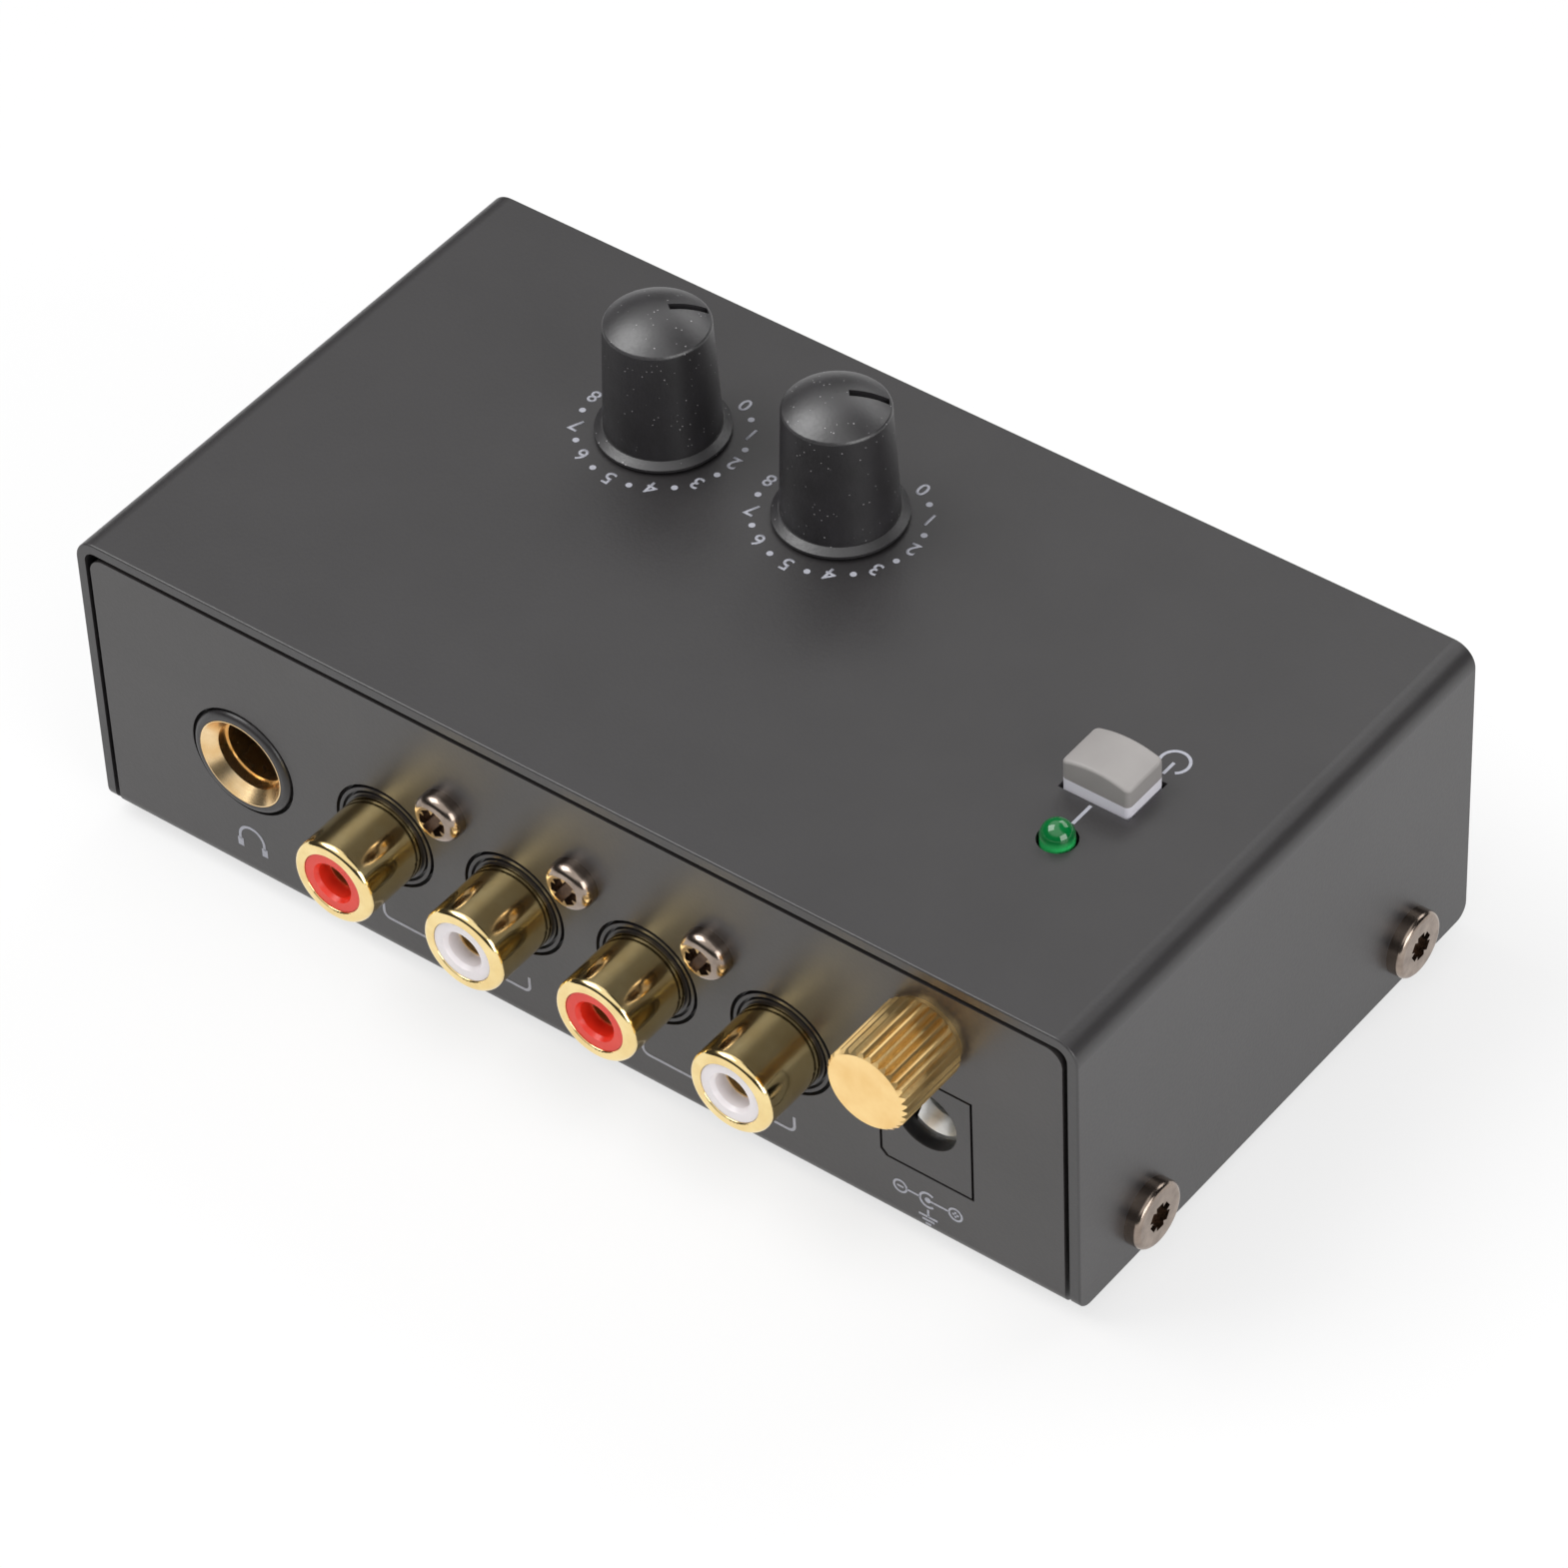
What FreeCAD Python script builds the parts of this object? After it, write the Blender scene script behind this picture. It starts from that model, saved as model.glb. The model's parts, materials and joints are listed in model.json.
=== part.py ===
"""Desktop phono preamp: a folded steel case, one circuit board, sockets, two knobs and a power button.

The row frame has +Z up, its floor at the underside of the rubber feet, and the connector panel
facing -Y. X is centred on the case, and Y on the whole footprint with the ground terminal.
Lengths are millimetres.
"""
import FreeCAD, Part
import math
import os
import re

import Sketcher
from FreeCAD import Placement, Rotation, Vector

doc = FreeCAD.newDocument("phono_preamp")

# Driving dimensions

DRIVING = [
    ("case_length", 104.5, "case, side to side"),
    ("case_depth", 56.5, "case, connector panel to rear panel"),
    ("case_height", 30.7, "underside of the tray to the top of the cover"),
    ("sheet_steel", 1.0, "coated sheet of the cover and the tray"),
    ("cover_bend", 2.2, "outer radius of the cover's two bends"),
    ("tray_bend", 1.3, "outer radius of the tray's bends"),
    ("cover_edge", 0.18, "rounding of the cover's outer edges, front and rear"),
    ("panel_gap", 0.5, "slit between a tray panel and the cover round it"),
    ("panel_corner", 1.6, "radius of a panel's top corners"),
    ("flap_corner", 1.5, "radius of the cover's lower corners"),
    ("flange_height", 8.5, "tray side flange"),
    ("flange_gap", 0.1, "tray flange to cover"),
    ("flange_inset", 4.0, "case end to the end of a flange"),
    ("foot_radius", 4.0, "rubber foot"),
    ("foot_height", 1.5, "rubber foot"),
    ("foot_inset", 8.5, "case edge to the centre of a foot"),
    ("side_screw_inset", 9.25, "case edge to the centre of a side screw"),
    ("side_screw_lift", 4.3, "side screw, above the tray's underside"),
    ("side_screw_shank", 1.45, "radius"),
    ("side_screw_head", 3.14, "radius"),
    ("side_screw_head_height", 1.4, "flat pan head"),
    ("side_screw_edge", 0.5, "rounding of the head"),
    ("side_screw_length", 3.6, "under the head"),
    ("collar_wall", 1.0, "drawn collar that holds a side screw's thread"),
    ("collar_height", 1.3, "drawn collar, inwards from the flange"),
    ("thread_gap", 0.05, "screw or shaft in its own thread or bearing"),
    ("screw_hole_gap", 0.25, "screw in a clearance hole"),
    ("recess_width", 0.95, "arm of a screw's star recess"),
    ("recess_reach", 1.32, "arm of a screw's star recess, from the axis"),
    ("recess_depth", 1.1, "star recess of a screw"),
    ("standoff_height", 4.4, "tray floor to the board"),
    ("standoff_radius", 2.8, "pressed-in standoff"),
    ("board_side_gap", 1.75, "board to a tray flange"),
    ("board_thickness", 1.6, "circuit board"),
    ("board_front_gap", 0.6, "board to the connector panel"),
    ("board_rear_gap", 1.2, "board to the rear panel"),
    ("board_screw_inset", 3.5, "board screws, from the board's end"),
    ("board_screw_rear", 6.75, "two rear board screws, from the rear panel's face"),
    ("jack_screw_gap", 4.25, "jack body to the board screw behind it"),
    ("switch_screw_gap", 3.4, "switch to the board screw behind it"),
    ("board_screw_shank", 1.45, "radius"),
    ("board_screw_head", 2.6, "radius"),
    ("board_screw_head_height", 1.5, "flat pan head"),
    ("board_screw_edge", 0.7, "rounding of the head"),
    ("board_screw_length", 5.0, "under the head"),
    ("lead_radius", 0.3, "component lead"),
    ("lead_hole_gap", 0.1, "lead in its board hole"),
    ("lead_tail", 1.0, "lead beyond the underside of the board"),
    ("overrun", 1.0, "how far a cutter passes the face that it opens"),
    ("socket_axis_lift", 6.7, "axis of the phono and jack sockets, above the board"),
    ("rca_count", 4, "phono sockets"),
    ("rca_first_x", -19.6, "first phono socket, from the middle of the case"),
    ("rca_pitch", 14.0, "phono sockets"),
    ("rca_reach", 7.1, "phono barrel beyond the panel"),
    ("rca_shell_radius", 4.15, "standard phono barrel"),
    ("rca_shell_bore", 2.98, "barrel round its insulator"),
    ("rca_shell_depth", 6.0, "barrel behind the panel face"),
    ("rca_neck_radius", 3.85, "neck of the barrel in its housing"),
    ("rca_neck_reach", 0.25, "neck of the barrel in front of the panel face"),
    ("rca_edge", 0.6, "rounding of the barrel's rim"),
    ("rca_mouth_edge", 0.15, "rounding of the rim's inner edge"),
    ("rca_boss_radius", 4.97, "plastic boss in the panel hole"),
    ("rca_hole_gap", 0.33, "boss to panel"),
    ("rca_lip_radius", 4.4, "lip round the barrel"),
    ("rca_groove_radius", 4.66, "outer edge of the groove round the lip"),
    ("rca_groove_depth", 0.6, "groove round the barrel in its boss"),
    ("rca_fit", 0.03, "coloured insulator in its barrel"),
    ("rca_insulator_recess", 0.15, "insulator behind the barrel's rim"),
    ("rca_funnel_radius", 2.05, "mouth of the insulator"),
    ("rca_funnel_depth", 0.4, "mouth of the insulator"),
    ("rca_throat_radius", 1.8, "insulator in front of its contact"),
    ("rca_contact_recess", 1.75, "centre contact behind the insulator's face"),
    ("rca_contact_bore", 1.6, "radius of the centre contact"),
    ("rca_contact_wall", 0.4, "centre contact"),
    ("rca_slot_length", 5.0, "spring slot of the centre contact"),
    ("rca_slot_width", 0.5, "spring slot of the centre contact"),
    ("rca_housing_depth", 10.0, "black block behind the panel"),
    ("rca_housing_height", 16.4, "black block above the board"),
    ("rca_tail_width", 1.2, "strip that joins a contact to the board"),
    ("panel_screw_lift", 13.4, "panel screws, above the board"),
    ("panel_screw_shank", 1.25, "radius"),
    ("panel_screw_head", 2.35, "radius"),
    ("panel_screw_head_height", 1.65, "domed pan head"),
    ("panel_screw_edge", 0.95, "rounding of the head"),
    ("panel_screw_length", 6.0, "under the head"),
    ("jack_x", -35.3, "6.35 mm jack socket, from the middle of the case"),
    ("jack_bore", 3.2, "radius for a 6.35 mm plug"),
    ("jack_boss_radius", 5.3, "plastic boss in the panel hole"),
    ("jack_hole_gap", 0.28, "boss to panel"),
    ("jack_proud", 0.37, "boss and ferrule in front of the panel face"),
    ("jack_boss_edge", 0.55, "rounding of the boss"),
    ("ferrule_radius", 4.45, "gilt ferrule"),
    ("ferrule_mouth", 4.35, "outer edge of the ferrule's bevel"),
    ("ferrule_bevel", 1.1, "depth of the ferrule's bevel"),
    ("ferrule_throat", 3.38, "ferrule behind its bevel"),
    ("ferrule_step", 2.2, "ferrule's face to the start of the plug's bore"),
    ("ferrule_length", 6.0, "gilt ferrule"),
    ("jack_body_width", 15.4, "6.35 mm jack socket"),
    ("jack_body_height", 14.2, "6.35 mm jack socket"),
    ("jack_body_depth", 29.0, "6.35 mm jack socket, behind the panel"),
    ("jack_chamber_half", 4.6, "hollow for the plug and the springs"),
    ("jack_chamber_start", 8.0, "hollow for the plug and the springs, behind the panel face"),
    ("jack_chamber_depth", 20.0, "hollow for the plug and the springs"),
    ("jack_spring_thickness", 0.4, "contact strip"),
    ("jack_spring_width", 3.0, "contact strip"),
    ("jack_spring_gap", 0.15, "contact strip to plug bore"),
    ("jack_ring_spring_depth", 19.0, "ring contact, behind the panel face"),
    ("jack_tip_spring_depth", 21.5, "tip contact, behind the panel face"),
    ("jack_spring_length", 6.0, "contact strip, along the plug"),
    ("dc_x", 37.0, "power inlet, from the middle of the case"),
    ("dc_width", 9.0, "power inlet"),
    ("dc_height", 10.9, "power inlet"),
    ("dc_depth", 14.0, "power inlet, from its face"),
    ("dc_axis_lift", 6.5, "power inlet's axis above the board"),
    ("dc_bore", 3.15, "radius for a 5.5 mm plug"),
    ("dc_bore_depth", 9.5, "power inlet"),
    ("dc_pin_radius", 1.05, "centre pin"),
    ("dc_pin_recess", 2.6, "centre pin behind the face"),
    ("dc_root_radius", 0.8, "root of the centre pin in the inlet's body"),
    ("dc_root_gap", 0.3, "shoulder of the centre pin to the floor of the bore"),
    ("dc_spring_recess", 1.55, "sleeve contact behind the face"),
    ("dc_spring_rise", 0.9, "sleeve contact above the floor of the bore"),
    ("dc_spring_ramp", 1.3, "sloping front of the sleeve contact"),
    ("dc_spring_width", 3.9, "sleeve contact"),
    ("dc_spring_thickness", 0.4, "sleeve contact"),
    ("dc_gap", 0.25, "inlet to panel"),
    ("dc_corner", 0.6, "bevel at one lower corner of the inlet"),
    ("ground_x", 37.4, "ground terminal, from the middle of the case"),
    ("ground_offset", 0.2, "ground terminal above the middle of the room over the power inlet"),
    ("stud_radius", 1.95, "M4 stud"),
    ("stud_reach", 6.4, "stud beyond the panel"),
    ("stud_chamfer", 0.4, "end of the stud"),
    ("stud_head_radius", 3.4, "head inside the panel"),
    ("stud_head_height", 1.6, "head inside the panel"),
    ("washer_thickness", 0.5, "ground washer"),
    ("washer_radius", 3.5, "ground washer"),
    ("nut_radius", 3.95, "knurled thumb nut"),
    ("nut_length", 7.7, "knurled thumb nut"),
    ("nut_bore_depth", 6.4, "blind thread of the thumb nut"),
    ("nut_edge", 0.25, "bevel of the thumb nut at the washer"),
    ("nut_face_edge", 0.3, "bevel of the thumb nut at its outer face"),
    ("knurl_count", 32, "grooves of the knurl"),
    ("knurl_depth", 0.3, "grooves of the knurl"),
    ("knurl_width", 0.6, "grooves of the knurl"),
    ("strap_thickness", 0.5, "ground strap"),
    ("strap_width", 2.4, "ground strap"),
    ("strap_gap", 0.8, "upright arm of the ground strap to the power inlet"),
    ("strap_tab", 3.0, "tab of the ground strap on the board"),
    ("knob_first_x", -19.7, "volume knob, from the middle of the case"),
    ("knob_pitch", 19.0, "volume knob to level knob"),
    ("knob_rear", 16.95, "both knobs, from the rear panel's face"),
    ("knob_gap", 0.3, "knob to cover"),
    ("skirt_radius", 5.95, "knob skirt"),
    ("skirt_height", 0.25, "upright edge of the knob skirt"),
    ("skirt_slope", 0.5, "height of the skirt's sloping part"),
    ("skirt_step", 0.1, "ledge where the skirt meets the knob body"),
    ("knob_base_radius", 5.2, "knob body at the skirt"),
    ("knob_top_radius", 4.73, "knob body at its rim"),
    ("knob_rim_lift", 12.0, "rim of a knob above the cover"),
    ("knob_crown", 1.6, "domed top above the rim"),
    ("knob_rim_round", 0.35, "rounding of the knob's rim"),
    ("pointer_width", 0.75, "pointer groove"),
    ("pointer_start", 1.1, "inner end of the pointer groove"),
    ("pointer_end", 4.45, "outer end of the pointer groove"),
    ("pointer_depth", 0.6, "pointer groove"),
    ("volume_angle", 52.0, "pointer of the volume knob at rest, from +X"),
    ("level_angle", 41.0, "pointer of the level knob at rest, from +X"),
    ("insert_radius", 3.9, "hard insert of a knob"),
    ("insert_height", 9.4, "hard insert of a knob"),
    ("key_reach", 3.3, "key beside the shaft's flat, from the axis"),
    ("key_width", 3.9, "key beside the shaft's flat"),
    ("shaft_radius", 3.0, "6 mm potentiometer shaft"),
    ("shaft_flat", 1.5, "flat of the D-shaped shaft, from its axis"),
    ("shaft_flat_length", 8.0, "flat of the D-shaped shaft"),
    ("shaft_fit", 0.02, "shaft in its knob insert"),
    ("shaft_engagement", 8.8, "shaft inside the knob insert"),
    ("shaft_hole_gap", 0.8, "shaft in the cover"),
    ("pot_width", 10.0, "potentiometer body"),
    ("pot_length", 12.0, "potentiometer body"),
    ("pot_height", 7.0, "potentiometer body"),
    ("pot_wall", 1.2, "potentiometer body"),
    ("pot_pitch", 2.5, "potentiometer leads"),
    ("rotor_radius", 3.7, "wiper disc on the shaft"),
    ("rotor_thickness", 1.6, "wiper disc on the shaft"),
    ("rotor_gap", 0.3, "wiper disc to the potentiometer body"),
    ("bushing_radius", 3.9, "potentiometer bushing"),
    ("bushing_height", 5.5, "potentiometer bushing"),
    ("bushing_flange", 4.6, "foot of the potentiometer bushing"),
    ("bushing_flange_height", 0.8, "foot of the potentiometer bushing"),
    ("button_x", 37.12, "power button, from the middle of the case"),
    ("button_front", 25.98, "power button, from the connector panel's face"),
    ("button_width", 6.75, "power button, along the case"),
    ("button_depth", 4.95, "power button"),
    ("button_gap", 0.2, "button to its slot"),
    ("button_corner", 0.5, "upright corners of the button"),
    ("button_soft", 0.3, "rounding round the top of the cap"),
    ("button_white_lift", 1.0, "top of the white part above the cover"),
    ("button_cap_height", 1.8, "grey cap at its long edges"),
    ("button_crown", 0.65, "crown of the grey cap"),
    ("button_travel", 2.2, "power button"),
    ("switch_width", 8.0, "latching switch"),
    ("switch_height", 8.5, "latching switch above the board"),
    ("switch_wall", 1.0, "latching switch"),
    ("switch_pitch", 2.0, "latching switch, pin to pin"),
    ("plunger_width", 3.0, "square plunger"),
    ("plunger_collar", 4.6, "collar of the plunger inside the switch"),
    ("plunger_collar_height", 1.2, "collar of the plunger inside the switch"),
    ("plunger_gap", 0.1, "plunger to the switch"),
    ("plunger_grip", 3.0, "plunger inside the white part"),
    ("switch_spring_radius", 1.9, "return spring"),
    ("switch_spring_wall", 0.5, "return spring"),
    ("lamp_front", 18.35, "power lamp, from the connector panel's face"),
    ("lamp_radius", 1.5, "3 mm lamp"),
    ("lamp_lift", 0.4, "centre of the lamp's dome above the cover"),
    ("lamp_body", 3.8, "lamp below its dome"),
    ("lamp_rim_radius", 1.85, "rim of the lamp"),
    ("lamp_rim_height", 0.9, "rim of the lamp"),
    ("lamp_hole_gap", 0.27, "lamp to cover"),
    ("lamp_lead_pitch", 2.54, "lamp leads"),
    ("chip_first_x", -14.0, "first amplifier, from the middle of the case"),
    ("chip_spacing", 17.0, "first amplifier to the second"),
    ("chip_front", 19.25, "both amplifiers, from the connector panel's face"),
    ("chip_length", 9.6, "8-pin amplifier"),
    ("chip_width", 6.4, "8-pin amplifier"),
    ("chip_height", 3.3, "8-pin amplifier"),
    ("chip_lift", 0.5, "8-pin amplifier above the board"),
    ("chip_row", 7.62, "8-pin amplifier, row to row"),
    ("chip_pitch", 2.54, "8-pin amplifier, pin to pin"),
    ("can_first_x", 13.0, "first electrolytic capacitor, from the middle of the case"),
    ("can_spacing", 8.0, "one electrolytic capacitor to the next"),
    ("can_rear", 8.25, "electrolytic capacitors, from the rear panel's face"),
    ("can_radius", 3.15, "electrolytic capacitor"),
    ("can_height", 11.0, "electrolytic capacitor"),
    ("can_round", 0.4, "electrolytic capacitor's edge"),
    ("can_pitch", 2.5, "electrolytic capacitor's leads"),
    ("film_first_x", -10.0, "first film capacitor, from the middle of the case"),
    ("film_spacing", 12.0, "one film capacitor to the next"),
    ("film_rear", 6.75, "film capacitors, from the rear panel's face"),
    ("film_length", 7.2, "film capacitor"),
    ("film_width", 3.0, "film capacitor"),
    ("film_height", 7.0, "film capacitor"),
    ("film_pitch", 5.0, "film capacitor's leads"),
    ("resistor_first_x", 12.0, "first resistor, from the middle of the case"),
    ("resistor_front", 23.25, "resistors, from the connector panel's face"),
    ("resistor_radius", 1.15, "resistor"),
    ("resistor_length", 6.3, "resistor"),
    ("resistor_pitch", 10.16, "resistor leads"),
    ("resistor_row", 3.2, "resistor to resistor"),
    ("resistor_count", 6, "resistors in the row"),
    ("regulator_x", 24.0, "voltage regulator, from the middle of the case"),
    ("regulator_rear", 18.25, "voltage regulator, from the rear panel's face"),
    ("regulator_width", 10.0, "voltage regulator"),
    ("regulator_thickness", 4.4, "voltage regulator"),
    ("regulator_lift", 2.0, "voltage regulator above the board"),
    ("regulator_body", 9.0, "voltage regulator's plastic body"),
    ("regulator_tab", 6.0, "voltage regulator's metal tab"),
    ("regulator_tab_thickness", 1.3, "voltage regulator's metal tab"),
    ("regulator_hole", 1.8, "voltage regulator's metal tab"),
]

# Places that follow from the driving dimensions

DERIVED = [
    ("ground_reach", "washer_thickness + nut_length"),
    ("case_y", "ground_reach / 2"),
    ("front_y", "case_y - case_depth / 2"),
    ("rear_y", "case_y + case_depth / 2"),
    ("cover_z", "foot_height + case_height"),
    ("board_z", "foot_height + sheet_steel + standoff_height + board_thickness"),
    ("board_lift", "board_z - foot_height"),
    ("socket_z", "board_z + socket_axis_lift"),
    ("socket_lift", "socket_z - foot_height"),
    ("cover_inside", "case_length / 2 - sheet_steel"),
    ("flange_face", "cover_inside - flange_gap"),
    ("panel_edge", "cover_inside - panel_gap"),
    ("panel_top", "case_height - sheet_steel - panel_gap"),
    ("flange_end", "case_depth / 2 - flange_inset"),
    ("side_screw_y", "case_depth / 2 - side_screw_inset"),
    ("board_end", "flange_face - sheet_steel - board_side_gap"),
    ("board_screw_x", "board_end - board_screw_inset"),
    ("panel_screw_first_x", "rca_first_x + rca_pitch / 2"),
    ("panel_screw_z", "board_z + panel_screw_lift"),
    ("dc_z", "board_z + dc_axis_lift"),
    ("ground_lift", "(board_lift + dc_height + case_height - sheet_steel) / 2 + ground_offset"),
    ("ground_z", "foot_height + ground_lift"),
    ("strap_x", "dc_x + dc_width / 2 + strap_gap + strap_width / 2"),
    ("knob_row_y", "rear_y - knob_rear"),
    ("knob_y", "knob_row_y - case_y"),
    ("knob_z", "cover_z + knob_gap"),
    ("knob_rim", "knob_rim_lift - knob_gap"),
    ("crown_radius", "(knob_top_radius ^ 2 + knob_crown ^ 2) / (2 * knob_crown)"),
    ("shaft_top", "knob_z + shaft_engagement"),
    ("rotor_z", "board_z + pot_wall + rotor_gap"),
    ("bushing_z", "board_z + pot_height"),
    ("button_row_y", "front_y + button_front"),
    ("button_y", "button_row_y - case_y"),
    ("white_top", "cover_z + button_white_lift"),
    ("crown_reach", "((button_width / 2) ^ 2 + button_crown ^ 2) / (2 * button_crown)"),
    ("white_bottom", "board_z + switch_height + button_travel + button_gap"),
    ("plunger_top", "white_bottom + plunger_grip"),
    ("plunger_base", "board_z + switch_height - switch_wall - plunger_gap - plunger_collar_height"),
    ("lamp_row_y", "front_y + lamp_front"),
    ("lamp_y", "lamp_row_y - case_y"),
    ("lamp_z", "cover_z + lamp_lift"),
    ("lamp_foot", "lamp_z - lamp_body - lamp_rim_height"),
]

SIZE = {alias: value for alias, value, note in DRIVING}
HOME = {alias: "Sizes." for alias in SIZE}
HOME.update({alias: "Places." for alias, formula in DERIVED})


def full(text):
    """An expression with the sheet's name before each alias."""
    return re.sub(r"[a-z][a-z_]*", lambda word: HOME.get(word.group(0), "") + word.group(0), text)


def fill_sheets():
    sizes = doc.addObject("Spreadsheet::Sheet", "Sizes")
    for row, (alias, value, note) in enumerate(DRIVING, start=1):
        sizes.set(f"A{row}", note)
        sizes.set(f"B{row}", str(value))
        sizes.setAlias(f"B{row}", alias)
    doc.recompute()
    places = doc.addObject("Spreadsheet::Sheet", "Places")
    for row, (alias, formula) in enumerate(DERIVED, start=1):
        places.set(f"B{row}", "=" + full(formula))
        places.setAlias(f"B{row}", alias)
        places.recompute()


fill_sheets()
doc.recompute()

UPRIGHT = Rotation()
FRONTWARD = Rotation(Vector(1, 0, 0), 90)
RIGHTWARD = Rotation(Vector(0, 1, 0), 90)
LEFTWARD = Rotation(Vector(0, 1, 0), -90)

NODES = []
BOARD_HOLES = []


# Small helpers

def bind(item, prop, text):
    item.setExpression(prop, full(text))


def place(item, x="0", y="0", z="0", turn=UPRIGHT):
    item.Placement = Placement(Vector(), turn)
    for axis, text in zip("xyz", (x, y, z)):
        bind(item, f"Placement.Base.{axis}", text)
    return item


def node(item, label):
    item.Label = label
    NODES.append(item)
    return item


def box(name, x, y, z, dx, dy, dz):
    item = doc.addObject("Part::Box", name)
    bind(item, "Length", dx)
    bind(item, "Width", dy)
    bind(item, "Height", dz)
    return place(item, x, y, z)


def centred_box(name, x, y, z, dx, dy, dz):
    """A box centred on x and y, standing on z."""
    return box(name, f"{x} - ({dx}) / 2", f"{y} - ({dy}) / 2", z, dx, dy, dz)


def cylinder(name, radius, height, x, y, z, turn=UPRIGHT):
    item = doc.addObject("Part::Cylinder", name)
    bind(item, "Radius", radius)
    bind(item, "Height", height)
    return place(item, x, y, z, turn)


def fuse(name, pieces):
    item = doc.addObject("Part::MultiFuse", name)
    item.Shapes = pieces
    return item


def group(name, pieces):
    """Separate solids kept together as one node."""
    item = doc.addObject("Part::Compound", name)
    item.Links = pieces
    return item


def cut(name, base, tool):
    item = doc.addObject("Part::Cut", name)
    item.Base = base
    item.Tool = tool
    return item


def through_board(name, radius, x, y):
    """A cutter for a hole in the circuit board."""
    return cylinder(name, radius, "board_thickness + 2 * overrun", x, y,
                    "board_z - board_thickness - overrun")


def lead(name, x, y, top="board_z"):
    """A component lead through the board, which gets a hole for it."""
    bottom = "board_z - board_thickness - lead_tail"
    BOARD_HOLES.append(through_board(f"{name}_hole", "lead_radius + lead_hole_gap", x, y))
    return cylinder(name, "lead_radius", f"{top} - ({bottom})", x, y, bottom)


# Part design helpers

def new_body(name):
    return doc.addObject("PartDesign::Body", name)


def sketch(body, role, lift="0"):
    """A sketch on one of the body's origin planes, raised along its normal."""
    item = body.newObject("Sketcher::SketchObject", f"{body.Name}_sketch")
    plane = [feature for feature in body.Origin.OriginFeatures if feature.Role == role][0]
    item.AttachmentSupport = [(plane, "")]
    item.MapMode = "FlatFace"
    bind(item, "AttachmentOffset.Base.z", lift)
    return item


def hold(item, geometry, point, x, y):
    """Fix a point of the sketch at two bound distances from its origin."""
    for kind, text in (("DistanceX", x), ("DistanceY", y)):
        number = item.addConstraint(Sketcher.Constraint(kind, -1, 1, geometry, point, 1.0))
        bind(item, f"Constraints[{number}]", text)


def outline(item, corners):
    """A closed outline of straight lines through the given corners."""
    count = len(corners)
    first = item.GeometryCount
    seeds = [Vector(math.cos(math.tau * i / count), math.sin(math.tau * i / count), 0)
             for i in range(count)]
    for i in range(count):
        item.addGeometry(Part.LineSegment(seeds[i], seeds[(i + 1) % count]))
    for i in range(count):
        following = first + (i + 1) % count
        item.addConstraint(Sketcher.Constraint("Coincident", first + i, 2, following, 1))
    for i, (x, y) in enumerate(corners):
        hold(item, first + i, 1, x, y)
    return item


def rectangle(item, left, right, low, high):
    return outline(item, [(left, low), (right, low), (right, high), (left, high)])


def circle(item, x, y, radius):
    number = item.addGeometry(Part.Circle(Vector(item.GeometryCount * 3, 0, 0), Vector(0, 0, 1), 1))
    hold(item, number, 3, x, y)
    limit = item.addConstraint(Sketcher.Constraint("Radius", number, 1.0))
    bind(item, f"Constraints[{limit}]", radius)
    return item


def pad(body, profile, length, reverse=False, symmetric=False):
    item = body.newObject("PartDesign::Pad", f"{body.Name}_pad")
    item.Profile = profile
    item.Reversed = reverse
    item.SideType = "Symmetric" if symmetric else "One side"
    bind(item, "Length", length)
    doc.recompute()
    return item


def pocket(body, profile, length, reverse=False, symmetric=False):
    """Cut a profile into the body, and stop if nothing was cut."""
    before = body.Shape.Volume
    item = body.newObject("PartDesign::Pocket", f"{body.Name}_pocket")
    item.Profile = profile
    item.Reversed = reverse
    item.SideType = "Symmetric" if symmetric else "One side"
    bind(item, "Length", length)
    doc.recompute()
    if body.Shape.Volume > before - 1e-6:
        raise RuntimeError(f"{body.Name}: a pocket cuts nothing")
    return item


def revolved(name, corners):
    """A body turned about its own Z axis from corners given as radius and height."""
    body = new_body(name)
    profile = outline(sketch(body, "XZ_Plane"), corners)
    turn = body.newObject("PartDesign::Revolution", f"{name}_turn")
    turn.Profile = profile
    turn.ReferenceAxis = (profile, ["V_Axis"])
    doc.recompute()
    return body


def polar(body, feature, profile, count):
    """Repeat a feature about the profile's own normal through its origin."""
    item = body.newObject("PartDesign::PolarPattern", f"{body.Name}_pattern")
    item.Originals = [feature]
    item.Axis = (profile, ["N_Axis"])
    item.Angle = 360
    bind(item, "Occurrences", count)
    body.Tip = item
    doc.recompute()
    return item


def soften(body, kind, test, prop, amount):
    """Fillet or chamfer the edges of the body that pass the test."""
    base = body.Tip
    names = [f"Edge{i}" for i, edge in enumerate(base.Shape.Edges, start=1)
             if test(edge, base.Shape.BoundBox)]
    item = body.newObject(f"PartDesign::{kind}", f"{body.Name}_{kind.lower()}")
    item.Base = (base, names)
    bind(item, prop, amount)
    doc.recompute()
    if not names or not item.Shape.isValid() or item.Shape.Volume <= 0:
        raise RuntimeError(f"{body.Name}: {kind} of {len(names)} edges failed")
    return item


def fillet(body, test, radius):
    return soften(body, "Fillet", test, "Radius", radius)


def near(a, b):
    return abs(a - b) < 1e-4


def along(edge, axis):
    """True for a straight edge that runs along one axis."""
    if edge.Degenerated or edge.Curve.TypeId != "Part::GeomLine":
        return False
    run = edge.Vertexes[0].Point - edge.Vertexes[1].Point
    return near(abs(getattr(run, axis)), run.Length)


def ring(edge, radius, height):
    """True for a full circle about Z with this radius and height."""
    if edge.Degenerated or edge.Curve.TypeId != "Part::GeomCircle" or len(edge.Vertexes) > 1:
        return False
    return near(edge.Curve.Radius, radius) and near(edge.Curve.Center.z, height)


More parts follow.
